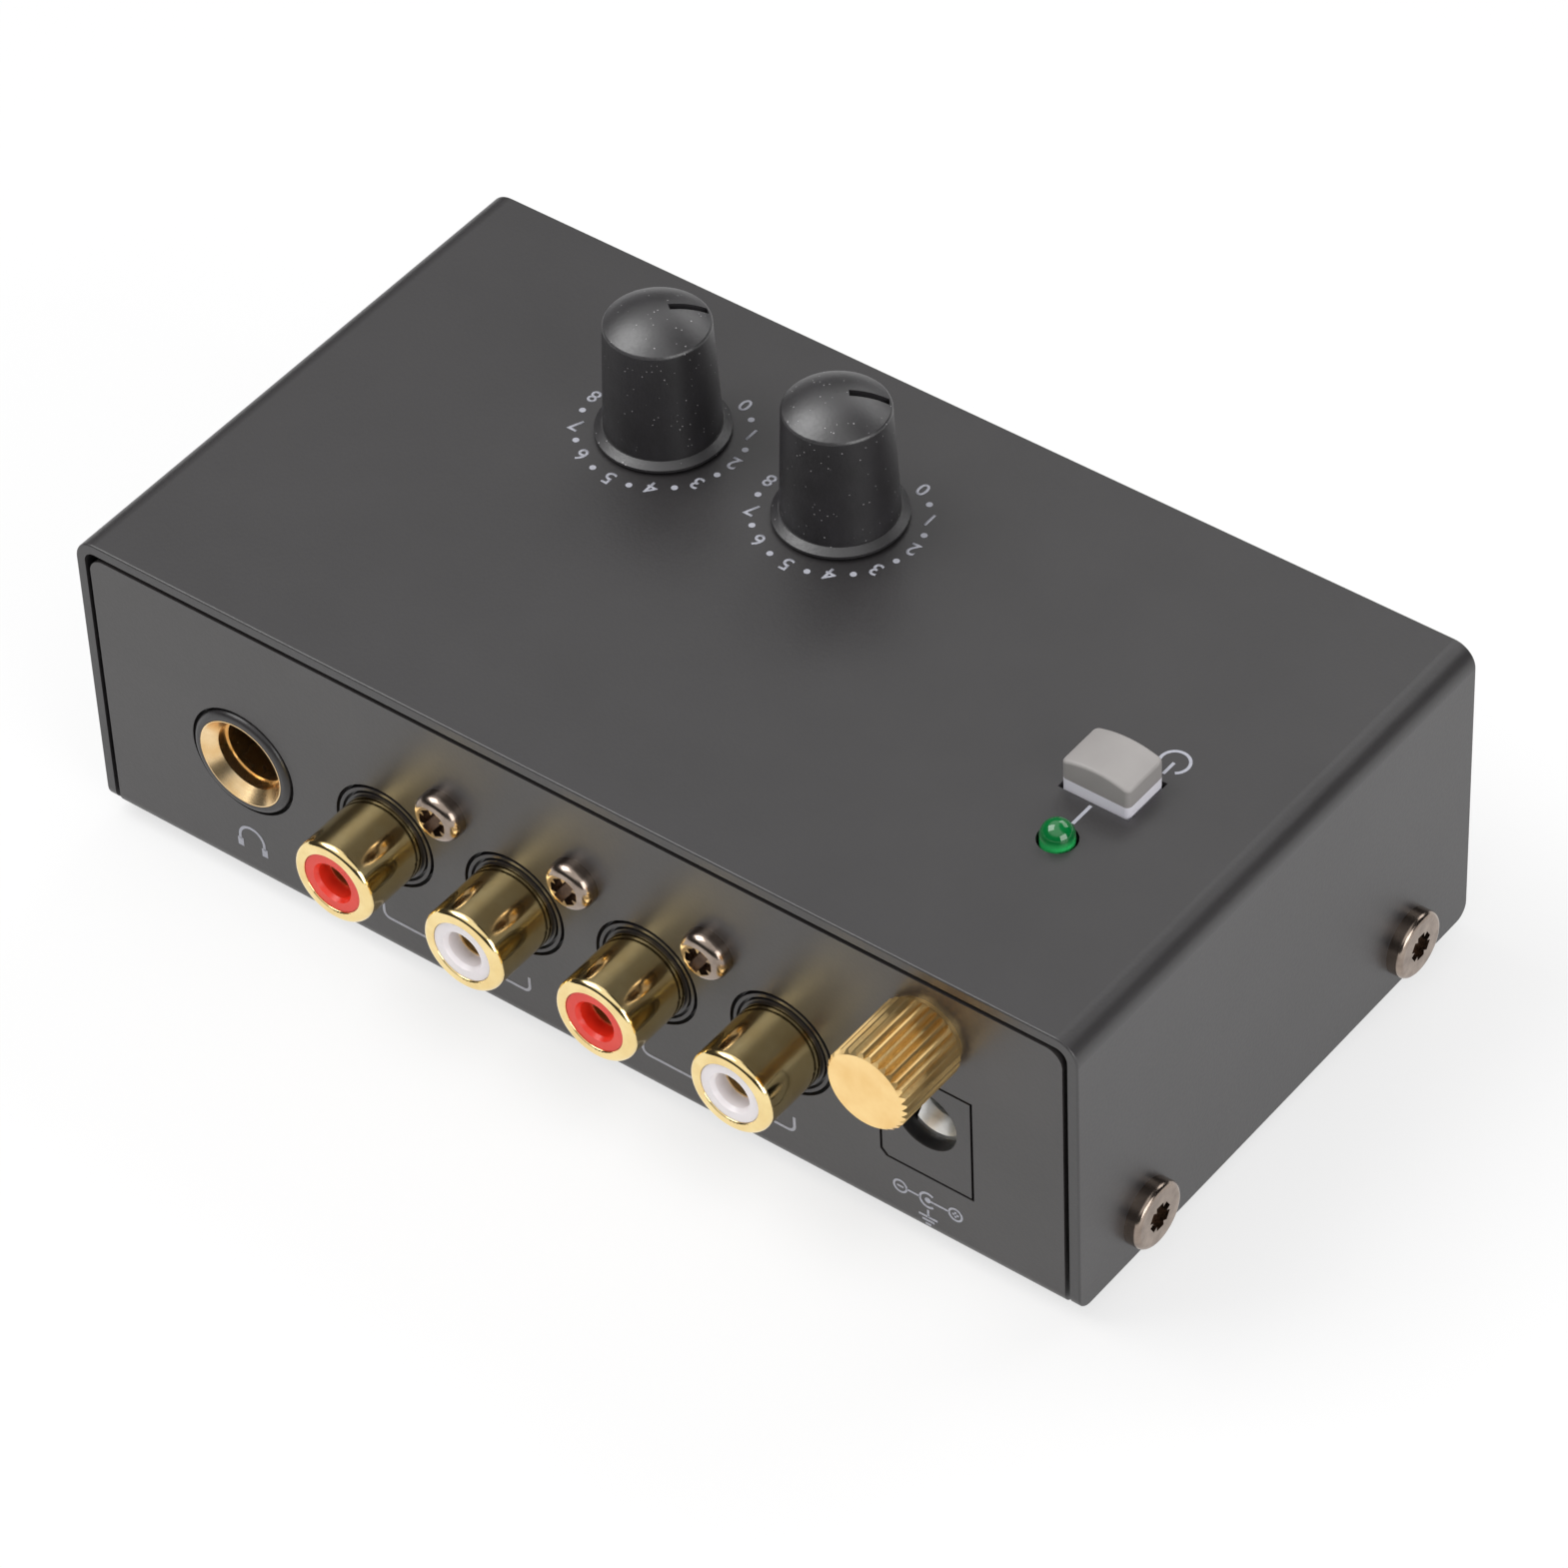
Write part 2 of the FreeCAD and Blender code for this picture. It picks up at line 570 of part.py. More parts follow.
def disc(edge, radius, depth):
    """True for a full circle about Y with this radius, at this Y."""
    if edge.Degenerated or edge.Curve.TypeId != "Part::GeomCircle" or len(edge.Vertexes) > 1:
        return False
    return near(edge.Curve.Radius, radius) and near(edge.Curve.Center.y, depth)


# Case

def make_cover():
    """U-shaped lid: top and both sides, with the control holes."""
    body = new_body("Cover")
    profile = outline(sketch(body, "XZ_Plane"), [
        ("-case_length / 2", "0"), ("-case_length / 2", "case_height"),
        ("case_length / 2", "case_height"), ("case_length / 2", "0"),
        ("cover_inside", "0"), ("cover_inside", "case_height - sheet_steel"),
        ("-cover_inside", "case_height - sheet_steel"), ("-cover_inside", "0")])
    pad(body, profile, "case_depth", symmetric=True)
    outer = SIZE["case_length"] / 2
    inner = outer - SIZE["sheet_steel"]
    top = SIZE["case_height"]
    under = top - SIZE["sheet_steel"]

    def is_bend(edge, x, z):
        centre = edge.BoundBox.Center
        return along(edge, "y") and near(abs(centre.x), x) and near(centre.z, z)

    def is_rim(edge, bounds):
        box_of = edge.BoundBox
        level = near(box_of.YMin, box_of.YMax) and near(abs(box_of.YMin), bounds.YMax)
        return level and near(box_of.ZMax, top) and near(box_of.ZMin, top)

    fillet(body, lambda edge, bounds: is_bend(edge, outer, top), "cover_bend")
    fillet(body, lambda edge, bounds: is_bend(edge, inner, under), "cover_bend - sheet_steel")
    fillet(body, lambda edge, bounds: along(edge, "x") and near(edge.BoundBox.ZMax, bounds.ZMin)
           and near(abs(edge.BoundBox.Center.y), bounds.YMax), "flap_corner")
    fillet(body, lambda edge, bounds: is_rim(edge, bounds), "cover_edge")
    holes = sketch(body, "XY_Plane", "case_height - 2 * sheet_steel")
    for i in range(2):
        circle(holes, f"knob_first_x + {i} * knob_pitch", "knob_y", "shaft_radius + shaft_hole_gap")
    circle(holes, "button_x", "lamp_y", "lamp_radius + lamp_hole_gap")
    half = "(button_width / 2 + button_gap)"
    deep = "(button_depth / 2 + button_gap)"
    rectangle(holes, f"button_x - {half}", f"button_x + {half}",
              f"button_y - {deep}", f"button_y + {deep}")
    pocket(body, holes, "3 * sheet_steel", reverse=True)
    sides = sketch(body, "YZ_Plane")
    for sign in ("-", ""):
        circle(sides, f"{sign}side_screw_y", "side_screw_lift", "side_screw_shank + screw_hole_gap")
    pocket(body, sides, "case_length + 2 * overrun", symmetric=True)
    place(body, "0", "case_y", "foot_height")
    node(body, "cover")


def make_base_tray():
    """Floor, connector panel, rear panel and two screw flanges, folded from one sheet."""
    body = new_body("Tray")
    panels = outline(sketch(body, "YZ_Plane"), [
        ("-case_depth / 2", "0"), ("case_depth / 2", "0"), ("case_depth / 2", "panel_top"),
        ("case_depth / 2 - sheet_steel", "panel_top"),
        ("case_depth / 2 - sheet_steel", "sheet_steel"),
        ("-case_depth / 2 + sheet_steel", "sheet_steel"),
        ("-case_depth / 2 + sheet_steel", "panel_top"), ("-case_depth / 2", "panel_top")])
    pad(body, panels, "2 * panel_edge", symmetric=True)
    front = SIZE["case_depth"] / 2
    inner = front - SIZE["sheet_steel"]
    fillet(body, lambda edge, bounds: along(edge, "x") and near(edge.BoundBox.ZMax, 0)
           and near(abs(edge.BoundBox.Center.y), front), "tray_bend")
    fillet(body, lambda edge, bounds: along(edge, "x")
           and near(edge.BoundBox.ZMax, SIZE["sheet_steel"])
           and near(abs(edge.BoundBox.Center.y), inner), "tray_bend - sheet_steel")
    fillet(body, lambda edge, bounds: along(edge, "y") and near(edge.BoundBox.ZMin, bounds.ZMax),
           "panel_corner")
    holes = sketch(body, "XZ_Plane", "case_depth / 2")
    circle(holes, "jack_x", "socket_lift", "jack_boss_radius + jack_hole_gap")
    for i in range(SIZE["rca_count"]):
        circle(holes, f"rca_first_x + {i} * rca_pitch", "socket_lift",
               "rca_boss_radius + rca_hole_gap")
    for i in range(SIZE["rca_count"] - 1):
        circle(holes, f"panel_screw_first_x + {i} * rca_pitch", "board_lift + panel_screw_lift",
               "panel_screw_shank + screw_hole_gap")
    circle(holes, "ground_x", "ground_lift", "stud_radius + thread_gap")
    outline(holes, inlet_outline("dc_gap", "board_lift"))
    pocket(body, holes, "2 * sheet_steel")
    whole = fuse("Base_tray", [body, make_flanges()])
    place(whole, "0", "case_y", "foot_height")
    node(whole, "base_tray")


def make_flanges():
    """The tray's floor with two upright flanges and their drawn screw collars."""
    body = new_body("Flanges")
    profile = outline(sketch(body, "XZ_Plane"), [
        ("-flange_face", "0"), ("flange_face", "0"), ("flange_face", "flange_height"),
        ("flange_face - sheet_steel", "flange_height"),
        ("flange_face - sheet_steel", "sheet_steel"),
        ("-flange_face + sheet_steel", "sheet_steel"),
        ("-flange_face + sheet_steel", "flange_height"), ("-flange_face", "flange_height")])
    pad(body, profile, "2 * flange_end", symmetric=True)
    fillet(body, lambda edge, bounds: along(edge, "y") and near(edge.BoundBox.ZMax, bounds.ZMin)
           and near(abs(edge.BoundBox.Center.x), bounds.XMax), "tray_bend")
    for side, reverse in (("", True), ("-", False)):
        collar = sketch(body, "YZ_Plane", f"{side}(flange_face - sheet_steel)")
        for sign in ("-", ""):
            circle(collar, f"{sign}side_screw_y", "side_screw_lift",
                   "side_screw_shank + thread_gap + collar_wall")
        pad(body, collar, "collar_height", reverse=reverse)
    threads = sketch(body, "YZ_Plane")
    for sign in ("-", ""):
        circle(threads, f"{sign}side_screw_y", "side_screw_lift", "side_screw_shank + thread_gap")
    pocket(body, threads, "case_length", symmetric=True)
    return body


def inlet_outline(gap, floor):
    """The power inlet's face with its one bevelled corner, grown by a gap."""
    left = f"dc_x - dc_width / 2 - {gap}"
    right = f"dc_x + dc_width / 2 + {gap}"
    low = f"{floor} - {gap}"
    high = f"{floor} + dc_height + {gap}"
    return [(f"{left} + dc_corner", low), (right, low), (right, high), (left, high),
            (left, f"{low} + dc_corner")]


def make_feet():
    feet = []
    for x in ("-(case_length / 2 - foot_inset)", "case_length / 2 - foot_inset"):
        for y in ("-(case_depth / 2 - foot_inset)", "case_depth / 2 - foot_inset"):
            feet.append(cylinder("Foot", "foot_radius", "foot_height", x, f"case_y + {y}", "0"))
    node(group("Feet", feet), "rubber_feet")


# Screws

def make_screw(kind):
    """A pan-head screw along its own Z, its head's seat at zero."""
    shank = f"{kind}_shank"
    head = f"{kind}_head"
    height = f"{kind}_head_height"
    length = f"{kind}_length"
    body = revolved(kind.capitalize(), [
        ("0", f"-{length}"), (shank, f"-{length}"), (shank, "0"), (head, "0"), (head, height),
        ("0", height)])
    rim = SIZE[head]
    top = SIZE[height]
    fillet(body, lambda edge, bounds: ring(edge, rim, top), f"{kind}_edge")
    profile = rectangle(sketch(body, "XY_Plane", height), "-recess_reach", "recess_reach",
                        "-recess_width / 2", "recess_width / 2")
    slot = pocket(body, profile, "recess_depth")
    polar(body, slot, profile, "3")
    return body


def copies(name, source, spots, label):
    """One node of identical pieces, each a copy of the source at its own spot."""
    pieces = []
    for x, y, z, turn in spots:
        copy = doc.addObject("App::Link", f"{name}_copy")
        copy.LinkedObject = source
        pieces.append(place(copy, x, y, z, turn))
    node(group(name, pieces), label)


def make_side_screws():
    screw = make_screw("side_screw")
    height = "foot_height + side_screw_lift"
    spots = []
    for sign in ("-", "+"):
        spots.append(("case_length / 2", f"case_y {sign} side_screw_y", height, RIGHTWARD))
        spots.append(("-case_length / 2", f"case_y {sign} side_screw_y", height, LEFTWARD))
    copies("Side_screws", screw, spots, "side_screws")


def make_panel_screws():
    screw = make_screw("panel_screw")
    spots = [(f"panel_screw_first_x + {i} * rca_pitch", "front_y", "panel_screw_z", FRONTWARD)
             for i in range(SIZE["rca_count"] - 1)]
    copies("Panel_screws", screw, spots, "panel_screws")


BOARD_SCREW_SPOTS = [
    ("-board_screw_x", "rear_y - board_screw_rear"),
    ("board_screw_x", "rear_y - board_screw_rear"),
    ("-board_screw_x", "front_y + sheet_steel + jack_body_depth + jack_screw_gap"),
    ("board_screw_x", "button_row_y + switch_width / 2 + switch_screw_gap"),
]


def make_board_screws():
    screw = make_screw("board_screw")
    spots = [(x, y, "board_z", UPRIGHT) for x, y in BOARD_SCREW_SPOTS]
    copies("Board_screws", screw, spots, "board_screws")


def make_standoffs():
    pieces = []
    for x, y in BOARD_SCREW_SPOTS:
        post = cylinder("Post", "standoff_radius", "standoff_height", x, y,
                        "foot_height + sheet_steel")
        bore = cylinder("Post_bore", "board_screw_shank + thread_gap", "standoff_height + overrun",
                        x, y, "foot_height + sheet_steel + standoff_height + board_thickness"
                        " - board_screw_length - thread_gap")
        pieces.append(cut("Standoff", post, bore))
    node(group("Standoffs", pieces), "board_standoffs")


# Phono sockets

def make_rca_housing():
    """Black block with four bosses that fill the panel holes round the barrels."""
    body = new_body("Rca_housing")
    left = "rca_first_x - rca_pitch / 2"
    right = "rca_first_x + (rca_count - 0.5) * rca_pitch"
    block = rectangle(sketch(body, "XZ_Plane", "-sheet_steel"), left, right,
                      "0", "rca_housing_height")
    pad(body, block, "rca_housing_depth", reverse=True)
    bosses = sketch(body, "XZ_Plane", "-sheet_steel")
    grooves = sketch(body, "XZ_Plane")
    bores = sketch(body, "XZ_Plane")
    tubes = sketch(body, "XZ_Plane", "-rca_shell_depth")
    for i in range(SIZE["rca_count"]):
        x = f"rca_first_x + {i} * rca_pitch"
        circle(bosses, x, "socket_axis_lift", "rca_boss_radius")
        circle(grooves, x, "socket_axis_lift", "rca_lip_radius")
        circle(grooves, x, "socket_axis_lift", "rca_groove_radius")
        circle(bores, x, "socket_axis_lift", "rca_neck_radius + rca_fit")
        circle(tubes, x, "socket_axis_lift", "rca_shell_bore")
    pad(body, bosses, "sheet_steel")
    pocket(body, grooves, "rca_groove_depth")
    pocket(body, bores, "rca_shell_depth")
    pocket(body, tubes, "rca_housing_depth")
    pilots = sketch(body, "XZ_Plane", "-sheet_steel")
    for i in range(SIZE["rca_count"] - 1):
        circle(pilots, f"panel_screw_first_x + {i} * rca_pitch", "panel_screw_lift",
               "panel_screw_shank + thread_gap")
    pocket(body, pilots, "panel_screw_length")
    place(body, "0", "front_y", "board_z")
    node(body, "rca_housing")


def make_rca_shell(i):
    """Gilt barrel that takes the collar of a phono plug."""
    body = revolved(f"Rca_shell_{i + 1}", [
        ("rca_shell_bore", "-rca_shell_depth"), ("rca_neck_radius", "-rca_shell_depth"),
        ("rca_neck_radius", "rca_neck_reach"), ("rca_shell_radius", "rca_neck_reach"),
        ("rca_shell_radius", "rca_reach"), ("rca_shell_bore", "rca_reach")])
    rim = SIZE["rca_shell_radius"]
    mouth = SIZE["rca_shell_bore"]
    reach = SIZE["rca_reach"]
    fillet(body, lambda edge, bounds: ring(edge, rim, reach), "rca_edge")
    fillet(body, lambda edge, bounds: ring(edge, mouth, reach), "rca_mouth_edge")
    place(body, f"rca_first_x + {i} * rca_pitch", "front_y", "socket_z", FRONTWARD)
    node(body, f"rca_shell_{i + 1}")


def make_rca_insulator(i):
    """Coloured insert with a funnel mouth round the centre contact."""
    outer = "rca_shell_bore - rca_fit"
    hole = "rca_contact_bore + rca_contact_wall"
    face = "rca_reach - rca_insulator_recess"
    back = "-(sheet_steel + rca_housing_depth)"
    body = revolved(f"Rca_insulator_{i + 1}", [
        (hole, back), (outer, back), (outer, face), ("rca_funnel_radius", face),
        ("rca_throat_radius", f"{face} - rca_funnel_depth"),
        ("rca_throat_radius", f"{face} - rca_contact_recess"),
        (hole, f"{face} - rca_contact_recess")])
    place(body, f"rca_first_x + {i} * rca_pitch", "front_y", "socket_z", FRONTWARD)
    node(body, f"rca_insulator_{i + 1}")


def make_rca_contact(i):
    """Split tube for the plug's pin, with a strip behind it down to the board."""
    x = f"rca_first_x + {i} * rca_pitch"
    front = "rca_reach - rca_insulator_recess - rca_contact_recess"
    back = "front_y + sheet_steel + rca_housing_depth"
    length = f"{back} - (front_y - ({front}))"
    outer = cylinder("Contact_tube", "rca_contact_bore + rca_contact_wall", length,
                     x, back, "socket_z", FRONTWARD)
    bore = cylinder("Contact_bore", "rca_contact_bore", f"{length} + overrun",
                    x, back, "socket_z", FRONTWARD)
    slot = box("Contact_slot", f"{x} - rca_slot_width / 2", f"{back} - ({length}) - overrun",
               "socket_z", "rca_slot_width", "rca_slot_length + overrun",
               "rca_contact_bore + rca_contact_wall + overrun")
    tube = cut("Contact_split", outer, fuse("Contact_void", [bore, slot]))
    strip = box("Contact_strip", f"{x} - rca_tail_width / 2", back, "board_z", "rca_tail_width",
                "rca_contact_wall", "socket_axis_lift + rca_contact_bore + rca_contact_wall")
    tail = lead("Contact_tail", x, f"{back} + lead_radius", "board_z + rca_contact_wall")
    node(fuse(f"Rca_contact_{i + 1}", [tube, strip, tail]), f"rca_contact_{i + 1}")


# Jack socket for a 6.35 mm plug

def make_jack_body():
    body = new_body("Jack_body")
    block = rectangle(sketch(body, "XZ_Plane", "-sheet_steel"), "-jack_body_width / 2",
                      "jack_body_width / 2", "0", "jack_body_height")
    pad(body, block, "jack_body_depth", reverse=True)
    boss = circle(sketch(body, "XZ_Plane", "-sheet_steel"), "0", "socket_axis_lift",
                  "jack_boss_radius")
    pad(body, boss, "sheet_steel + jack_proud")
    rim = SIZE["jack_boss_radius"]
    face = -SIZE["jack_proud"]
    fillet(body, lambda edge, bounds: disc(edge, rim, face), "jack_boss_edge")
    seat = circle(sketch(body, "XZ_Plane", "jack_proud"), "0", "socket_axis_lift",
                  "ferrule_radius + thread_gap")
    pocket(body, seat, "ferrule_length")
    bore = circle(sketch(body, "XZ_Plane"), "0", "socket_axis_lift", "jack_bore")
    pocket(body, bore, "jack_body_depth + 2 * sheet_steel")
    chamber = rectangle(sketch(body, "XZ_Plane", "-jack_chamber_start"),
                        "-jack_chamber_half", "jack_chamber_half",
                        "socket_axis_lift - jack_chamber_half",
                        "socket_axis_lift + jack_chamber_half")
    pocket(body, chamber, "jack_chamber_depth")
    place(body, "jack_x", "front_y", "board_z")
    node(body, "jack_body")


def make_jack_ferrule():
    """Gilt ring in the jack's mouth with a wide bevel and a step at the plug's bore."""
    body = revolved("Jack_ferrule", [
        ("jack_bore", "jack_proud - ferrule_length"),
        ("ferrule_radius", "jack_proud - ferrule_length"), ("ferrule_radius", "jack_proud"),
        ("ferrule_mouth", "jack_proud"), ("ferrule_throat", "jack_proud - ferrule_bevel"),
        ("ferrule_throat", "jack_proud - ferrule_step"),
        ("jack_bore", "jack_proud - ferrule_step")])
    place(body, "jack_x", "front_y", "socket_z", FRONTWARD)
    node(body, "jack_ferrule")


def make_jack_spring(name, label, depth, side):
    """Contact strip beside the plug, carried on a foot that stands through to the board."""
    reach = "jack_bore + jack_spring_gap"
    offset = f"({reach})" if side > 0 else f"(-({reach}) - jack_spring_thickness)"
    x = f"jack_x + {offset}"
    y = f"front_y + {depth}"
    low = "socket_z - jack_chamber_half"
    strip = box(f"{name}_strip", x, y, low, "jack_spring_thickness", "jack_spring_length",
                "jack_chamber_half + jack_spring_width / 2")
    foot = box(f"{name}_foot", x, f"{y} + jack_spring_length - jack_spring_width", low,
               f"jack_chamber_half - ({reach})", "jack_spring_width", "jack_spring_thickness")
    if side < 0:
        place(foot, "jack_x - jack_chamber_half", f"{y} + jack_spring_length - jack_spring_width",
              low)
    node(fuse(name, [strip, foot]), label)


# Power inlet

def make_dc_body():
    body = new_body("Dc_body")
    block = outline(sketch(body, "XZ_Plane"), inlet_outline("0", "0"))
    pad(body, block, "dc_depth", reverse=True)
    bore = circle(sketch(body, "XZ_Plane"), "dc_x", "dc_axis_lift", "dc_bore")
    pocket(body, bore, "dc_bore_depth")
    root = circle(sketch(body, "XZ_Plane"), "dc_x", "dc_axis_lift", "dc_root_radius")
    pocket(body, root, "dc_depth")
    place(body, "0", "front_y", "board_z")
    node(body, "dc_inlet_body")


def make_dc_pin():
    """Centre pin with a round nose, a thinner root and a strip down to the board."""
    back = "front_y + dc_depth"
    shoulder = "dc_bore_depth - dc_root_gap"
    nose = doc.addObject("Part::Sphere", "Dc_pin_nose")
    bind(nose, "Radius", "dc_pin_radius")
    place(nose, "dc_x", "front_y + dc_pin_recess + dc_pin_radius", "dc_z")
    rod = cylinder("Dc_pin_core", "dc_pin_radius",
                   f"{shoulder} - dc_pin_recess - dc_pin_radius", "dc_x",
                   f"front_y + {shoulder}", "dc_z", FRONTWARD)
    root = cylinder("Dc_pin_root", "dc_root_radius", f"dc_depth - ({shoulder})", "dc_x", back,
                    "dc_z", FRONTWARD)
    strip = centred_box("Dc_pin_strip", "dc_x", f"{back} + rca_contact_wall / 2", "board_z",
                        "rca_tail_width", "rca_contact_wall", "dc_axis_lift + dc_pin_radius")
    tail = lead("Dc_pin_tail", "dc_x", f"{back} + lead_radius", "board_z + rca_contact_wall")
    node(fuse("Dc_pin", [rod, nose, root, strip, tail]), "dc_inlet_pin")


def make_dc_spring():
    """Sleeve contact: a strip that slopes up from the floor of the bore, then runs level."""
    low = "dc_bore - dc_spring_rise"
    front = "-dc_spring_recess"
    bend = "-(dc_spring_recess + dc_spring_ramp)"
    shell = revolved("Dc_spring_shell", [
        ("dc_bore", front), (low, bend), (low, "-dc_bore_depth"),
        (f"{low} - dc_spring_thickness", "-dc_bore_depth"),
        (f"{low} - dc_spring_thickness", bend), ("dc_bore - dc_spring_thickness", front)])
    place(shell, "dc_x", "front_y", "dc_z", FRONTWARD)
    keep = box("Dc_spring_keep", "dc_x - dc_spring_width / 2", "front_y",
               "dc_z - dc_bore - overrun", "dc_spring_width", "dc_depth", "dc_bore + overrun")
    strip = doc.addObject("Part::Common", "Dc_spring")
    strip.Base = shell
    strip.Tool = keep
    node(strip, "dc_inlet_spring")


# Ground terminal

def make_ground_stud():
    """Captive screw: its head clamps the strap inside, its thread stands out of the panel."""
    body = revolved("Ground_stud", [
        ("0", "-(sheet_steel + strap_thickness + stud_head_height)"),
        ("stud_head_radius", "-(sheet_steel + strap_thickness + stud_head_height)"),
        ("stud_head_radius", "-(sheet_steel + strap_thickness)"),
        ("stud_radius", "-(sheet_steel + strap_thickness)"),
        ("stud_radius", "stud_reach - stud_chamfer"),
        ("stud_radius - stud_chamfer", "stud_reach"), ("0", "stud_reach")])
    place(body, "ground_x", "front_y", "ground_z", FRONTWARD)
    node(body, "ground_stud")


def make_ground_washer():
    body = revolved("Ground_washer", [
        ("stud_radius + thread_gap", "0"), ("washer_radius", "0"),
        ("washer_radius", "washer_thickness"), ("stud_radius + thread_gap", "washer_thickness")])
    place(body, "ground_x", "front_y", "ground_z", FRONTWARD)
    node(body, "ground_washer")


def make_ground_nut():
    """Thumb nut: a closed cap with a straight knurl and a blind thread."""
    hole = "stud_radius + thread_gap"
    body = revolved("Ground_nut", [
        (hole, "0"), ("nut_radius - nut_edge", "0"), ("nut_radius", "nut_edge"),
        ("nut_radius", "nut_length - nut_face_edge"),
        ("nut_radius - nut_face_edge", "nut_length"), ("0", "nut_length"),
        ("0", "nut_bore_depth"), (hole, "nut_bore_depth")])
    profile = outline(sketch(body, "XY_Plane"), [
        ("nut_radius - knurl_depth", "0"), ("nut_radius + knurl_depth", "-knurl_width"),
        ("nut_radius + knurl_depth", "knurl_width")])
    groove = pocket(body, profile, "nut_length", reverse=True)
    polar(body, groove, profile, "knurl_count")
    place(body, "ground_x", "front_y - washer_thickness", "ground_z", FRONTWARD)
    node(body, "ground_nut")


def make_ground_strap():
    """Flat strap from the stud's head down to the board, past the power inlet."""
    inside = "front_y + sheet_steel"
    eye = cylinder("Strap_eye", "stud_head_radius", "strap_thickness", "ground_x",
                   f"{inside} + strap_thickness", "ground_z", FRONTWARD)
    arm = box("Strap_arm", "ground_x", inside, "ground_z - strap_width / 2",
              "strap_x + strap_width / 2 - ground_x", "strap_thickness", "strap_width")
    leg = box("Strap_leg", "strap_x - strap_width / 2", inside, "board_z", "strap_width",
              "strap_thickness", "ground_z + strap_width / 2 - board_z")
    tab = box("Strap_tab", "strap_x - strap_width / 2", inside, "board_z", "strap_width",
              "board_front_gap + strap_tab", "strap_thickness")
    hole = cylinder("Strap_hole", "stud_radius + thread_gap", "2 * strap_thickness", "ground_x",
                    f"{inside} + 1.5 * strap_thickness", "ground_z", FRONTWARD)
    node(cut("Strap", fuse("Strap_blank", [eye, arm, leg, tab]), hole), "ground_strap")


# Potentiometers and knobs

def make_pot(i, label):
    x = f"knob_first_x + {i} * knob_pitch"
    y = "knob_row_y"
    block = centred_box("Pot_block", x, y, "board_z", "pot_width", "pot_length", "pot_height")
    room = cylinder("Pot_room", "rotor_radius + rotor_gap",
                    "pot_height - 2 * pot_wall", x, y, "board_z + pot_wall")
    hole = cylinder("Pot_hole", "shaft_radius + rotor_gap", "pot_height", x, y,
                    "board_z + pot_wall")
    case = cut("Pot_case", block, fuse("Pot_void", [room, hole]))
    pins = [lead("Pot_pin", f"{x} + {k} * pot_pitch", f"{y} - pot_length / 2 + pot_wall / 2",
                 "board_z + pot_wall / 2") for k in (-1, 0, 1)]
    node(fuse(f"Pot_{i + 1}", [case] + pins), f"{label}_pot_body")


def make_bushing(i, label):
    body = revolved(f"Bushing_{i + 1}", [
        ("shaft_radius + thread_gap", "0"), ("bushing_flange", "0"),
        ("bushing_flange", "bushing_flange_height"), ("bushing_radius", "bushing_flange_height"),
        ("bushing_radius", "bushing_height"), ("shaft_radius + thread_gap", "bushing_height")])
    place(body, f"knob_first_x + {i} * knob_pitch", "knob_row_y", "bushing_z")
    node(body, f"{label}_bushing")


def make_shaft(i, label):
    """Shaft with its wiper disc below and a flat at the top."""
    length = "shaft_top - rotor_z"
    body = revolved(f"Shaft_{i + 1}", [
        ("0", "0"), ("rotor_radius", "0"), ("rotor_radius", "rotor_thickness"),
        ("shaft_radius", "rotor_thickness"), ("shaft_radius", length), ("0", length)])
    flat = rectangle(sketch(body, "XY_Plane", length), "shaft_flat", "2 * shaft_radius",
                     "-2 * shaft_radius", "2 * shaft_radius")
    pocket(body, flat, "shaft_flat_length")
    place_on_shaft(body, i, label, "rotor_z")
    node(body, f"{label}_shaft")


def place_on_shaft(item, i, label, height):
    """Put a turning piece on its shaft axis, turned to the knob's rest angle."""
    item.Placement = Placement(Vector(), Rotation(Vector(0, 0, 1), 1))
    bind(item, "Placement.Rotation.Angle", f"{label}_angle * 1 deg")
    bind(item, "Placement.Base.x", f"knob_first_x + {i} * knob_pitch")
    bind(item, "Placement.Base.y", "knob_row_y")
    bind(item, "Placement.Base.z", height)


def make_knob(i, label):
    """Soft knob: skirt, tapered grip, domed top and an engraved pointer."""
    slope_top = "skirt_height + skirt_slope"
    roof = "insert_height"
    body = revolved(f"Knob_{i + 1}", [
        ("insert_radius", "0"), ("skirt_radius", "0"), ("skirt_radius", "skirt_height"),
        ("knob_base_radius + skirt_step", slope_top), ("knob_base_radius", slope_top),
        ("knob_top_radius", "knob_rim"), ("0", "knob_rim"), ("0", roof),
        ("insert_radius", roof)])
    dome = body.newObject("PartDesign::AdditiveSphere", f"Dome_{i + 1}")
    bind(dome, "Radius", "crown_radius")
    bind(dome, "Angle1", "asin((crown_radius - knob_crown) / crown_radius)")
    dome.AttachmentSupport = [([feature for feature in body.Origin.OriginFeatures
                                if feature.Role == "XY_Plane"][0], "")]
    dome.MapMode = "FlatFace"
    bind(dome, "AttachmentOffset.Base.z", "knob_rim + knob_crown - crown_radius")
    doc.recompute()
    rim = SIZE["knob_top_radius"]
    height = SIZE["knob_rim_lift"] - SIZE["knob_gap"]
    fillet(body, lambda edge, bounds: ring(edge, rim, height), "knob_rim_round")
    bar = box("Pointer_bar", "pointer_start", "-pointer_width / 2", "knob_rim - knob_crown",
              "pointer_end - pointer_start", "pointer_width", "3 * knob_crown")
    floor = doc.addObject("Part::Sphere", "Pointer_floor")
    bind(floor, "Radius", "crown_radius - pointer_depth")
    place(floor, "0", "0", "knob_rim + knob_crown - crown_radius")
    whole = cut(f"Knob_whole_{i + 1}", body, cut("Pointer", bar, floor))
    place_on_shaft(whole, i, label, "knob_z")
    node(whole, f"{label}_knob")


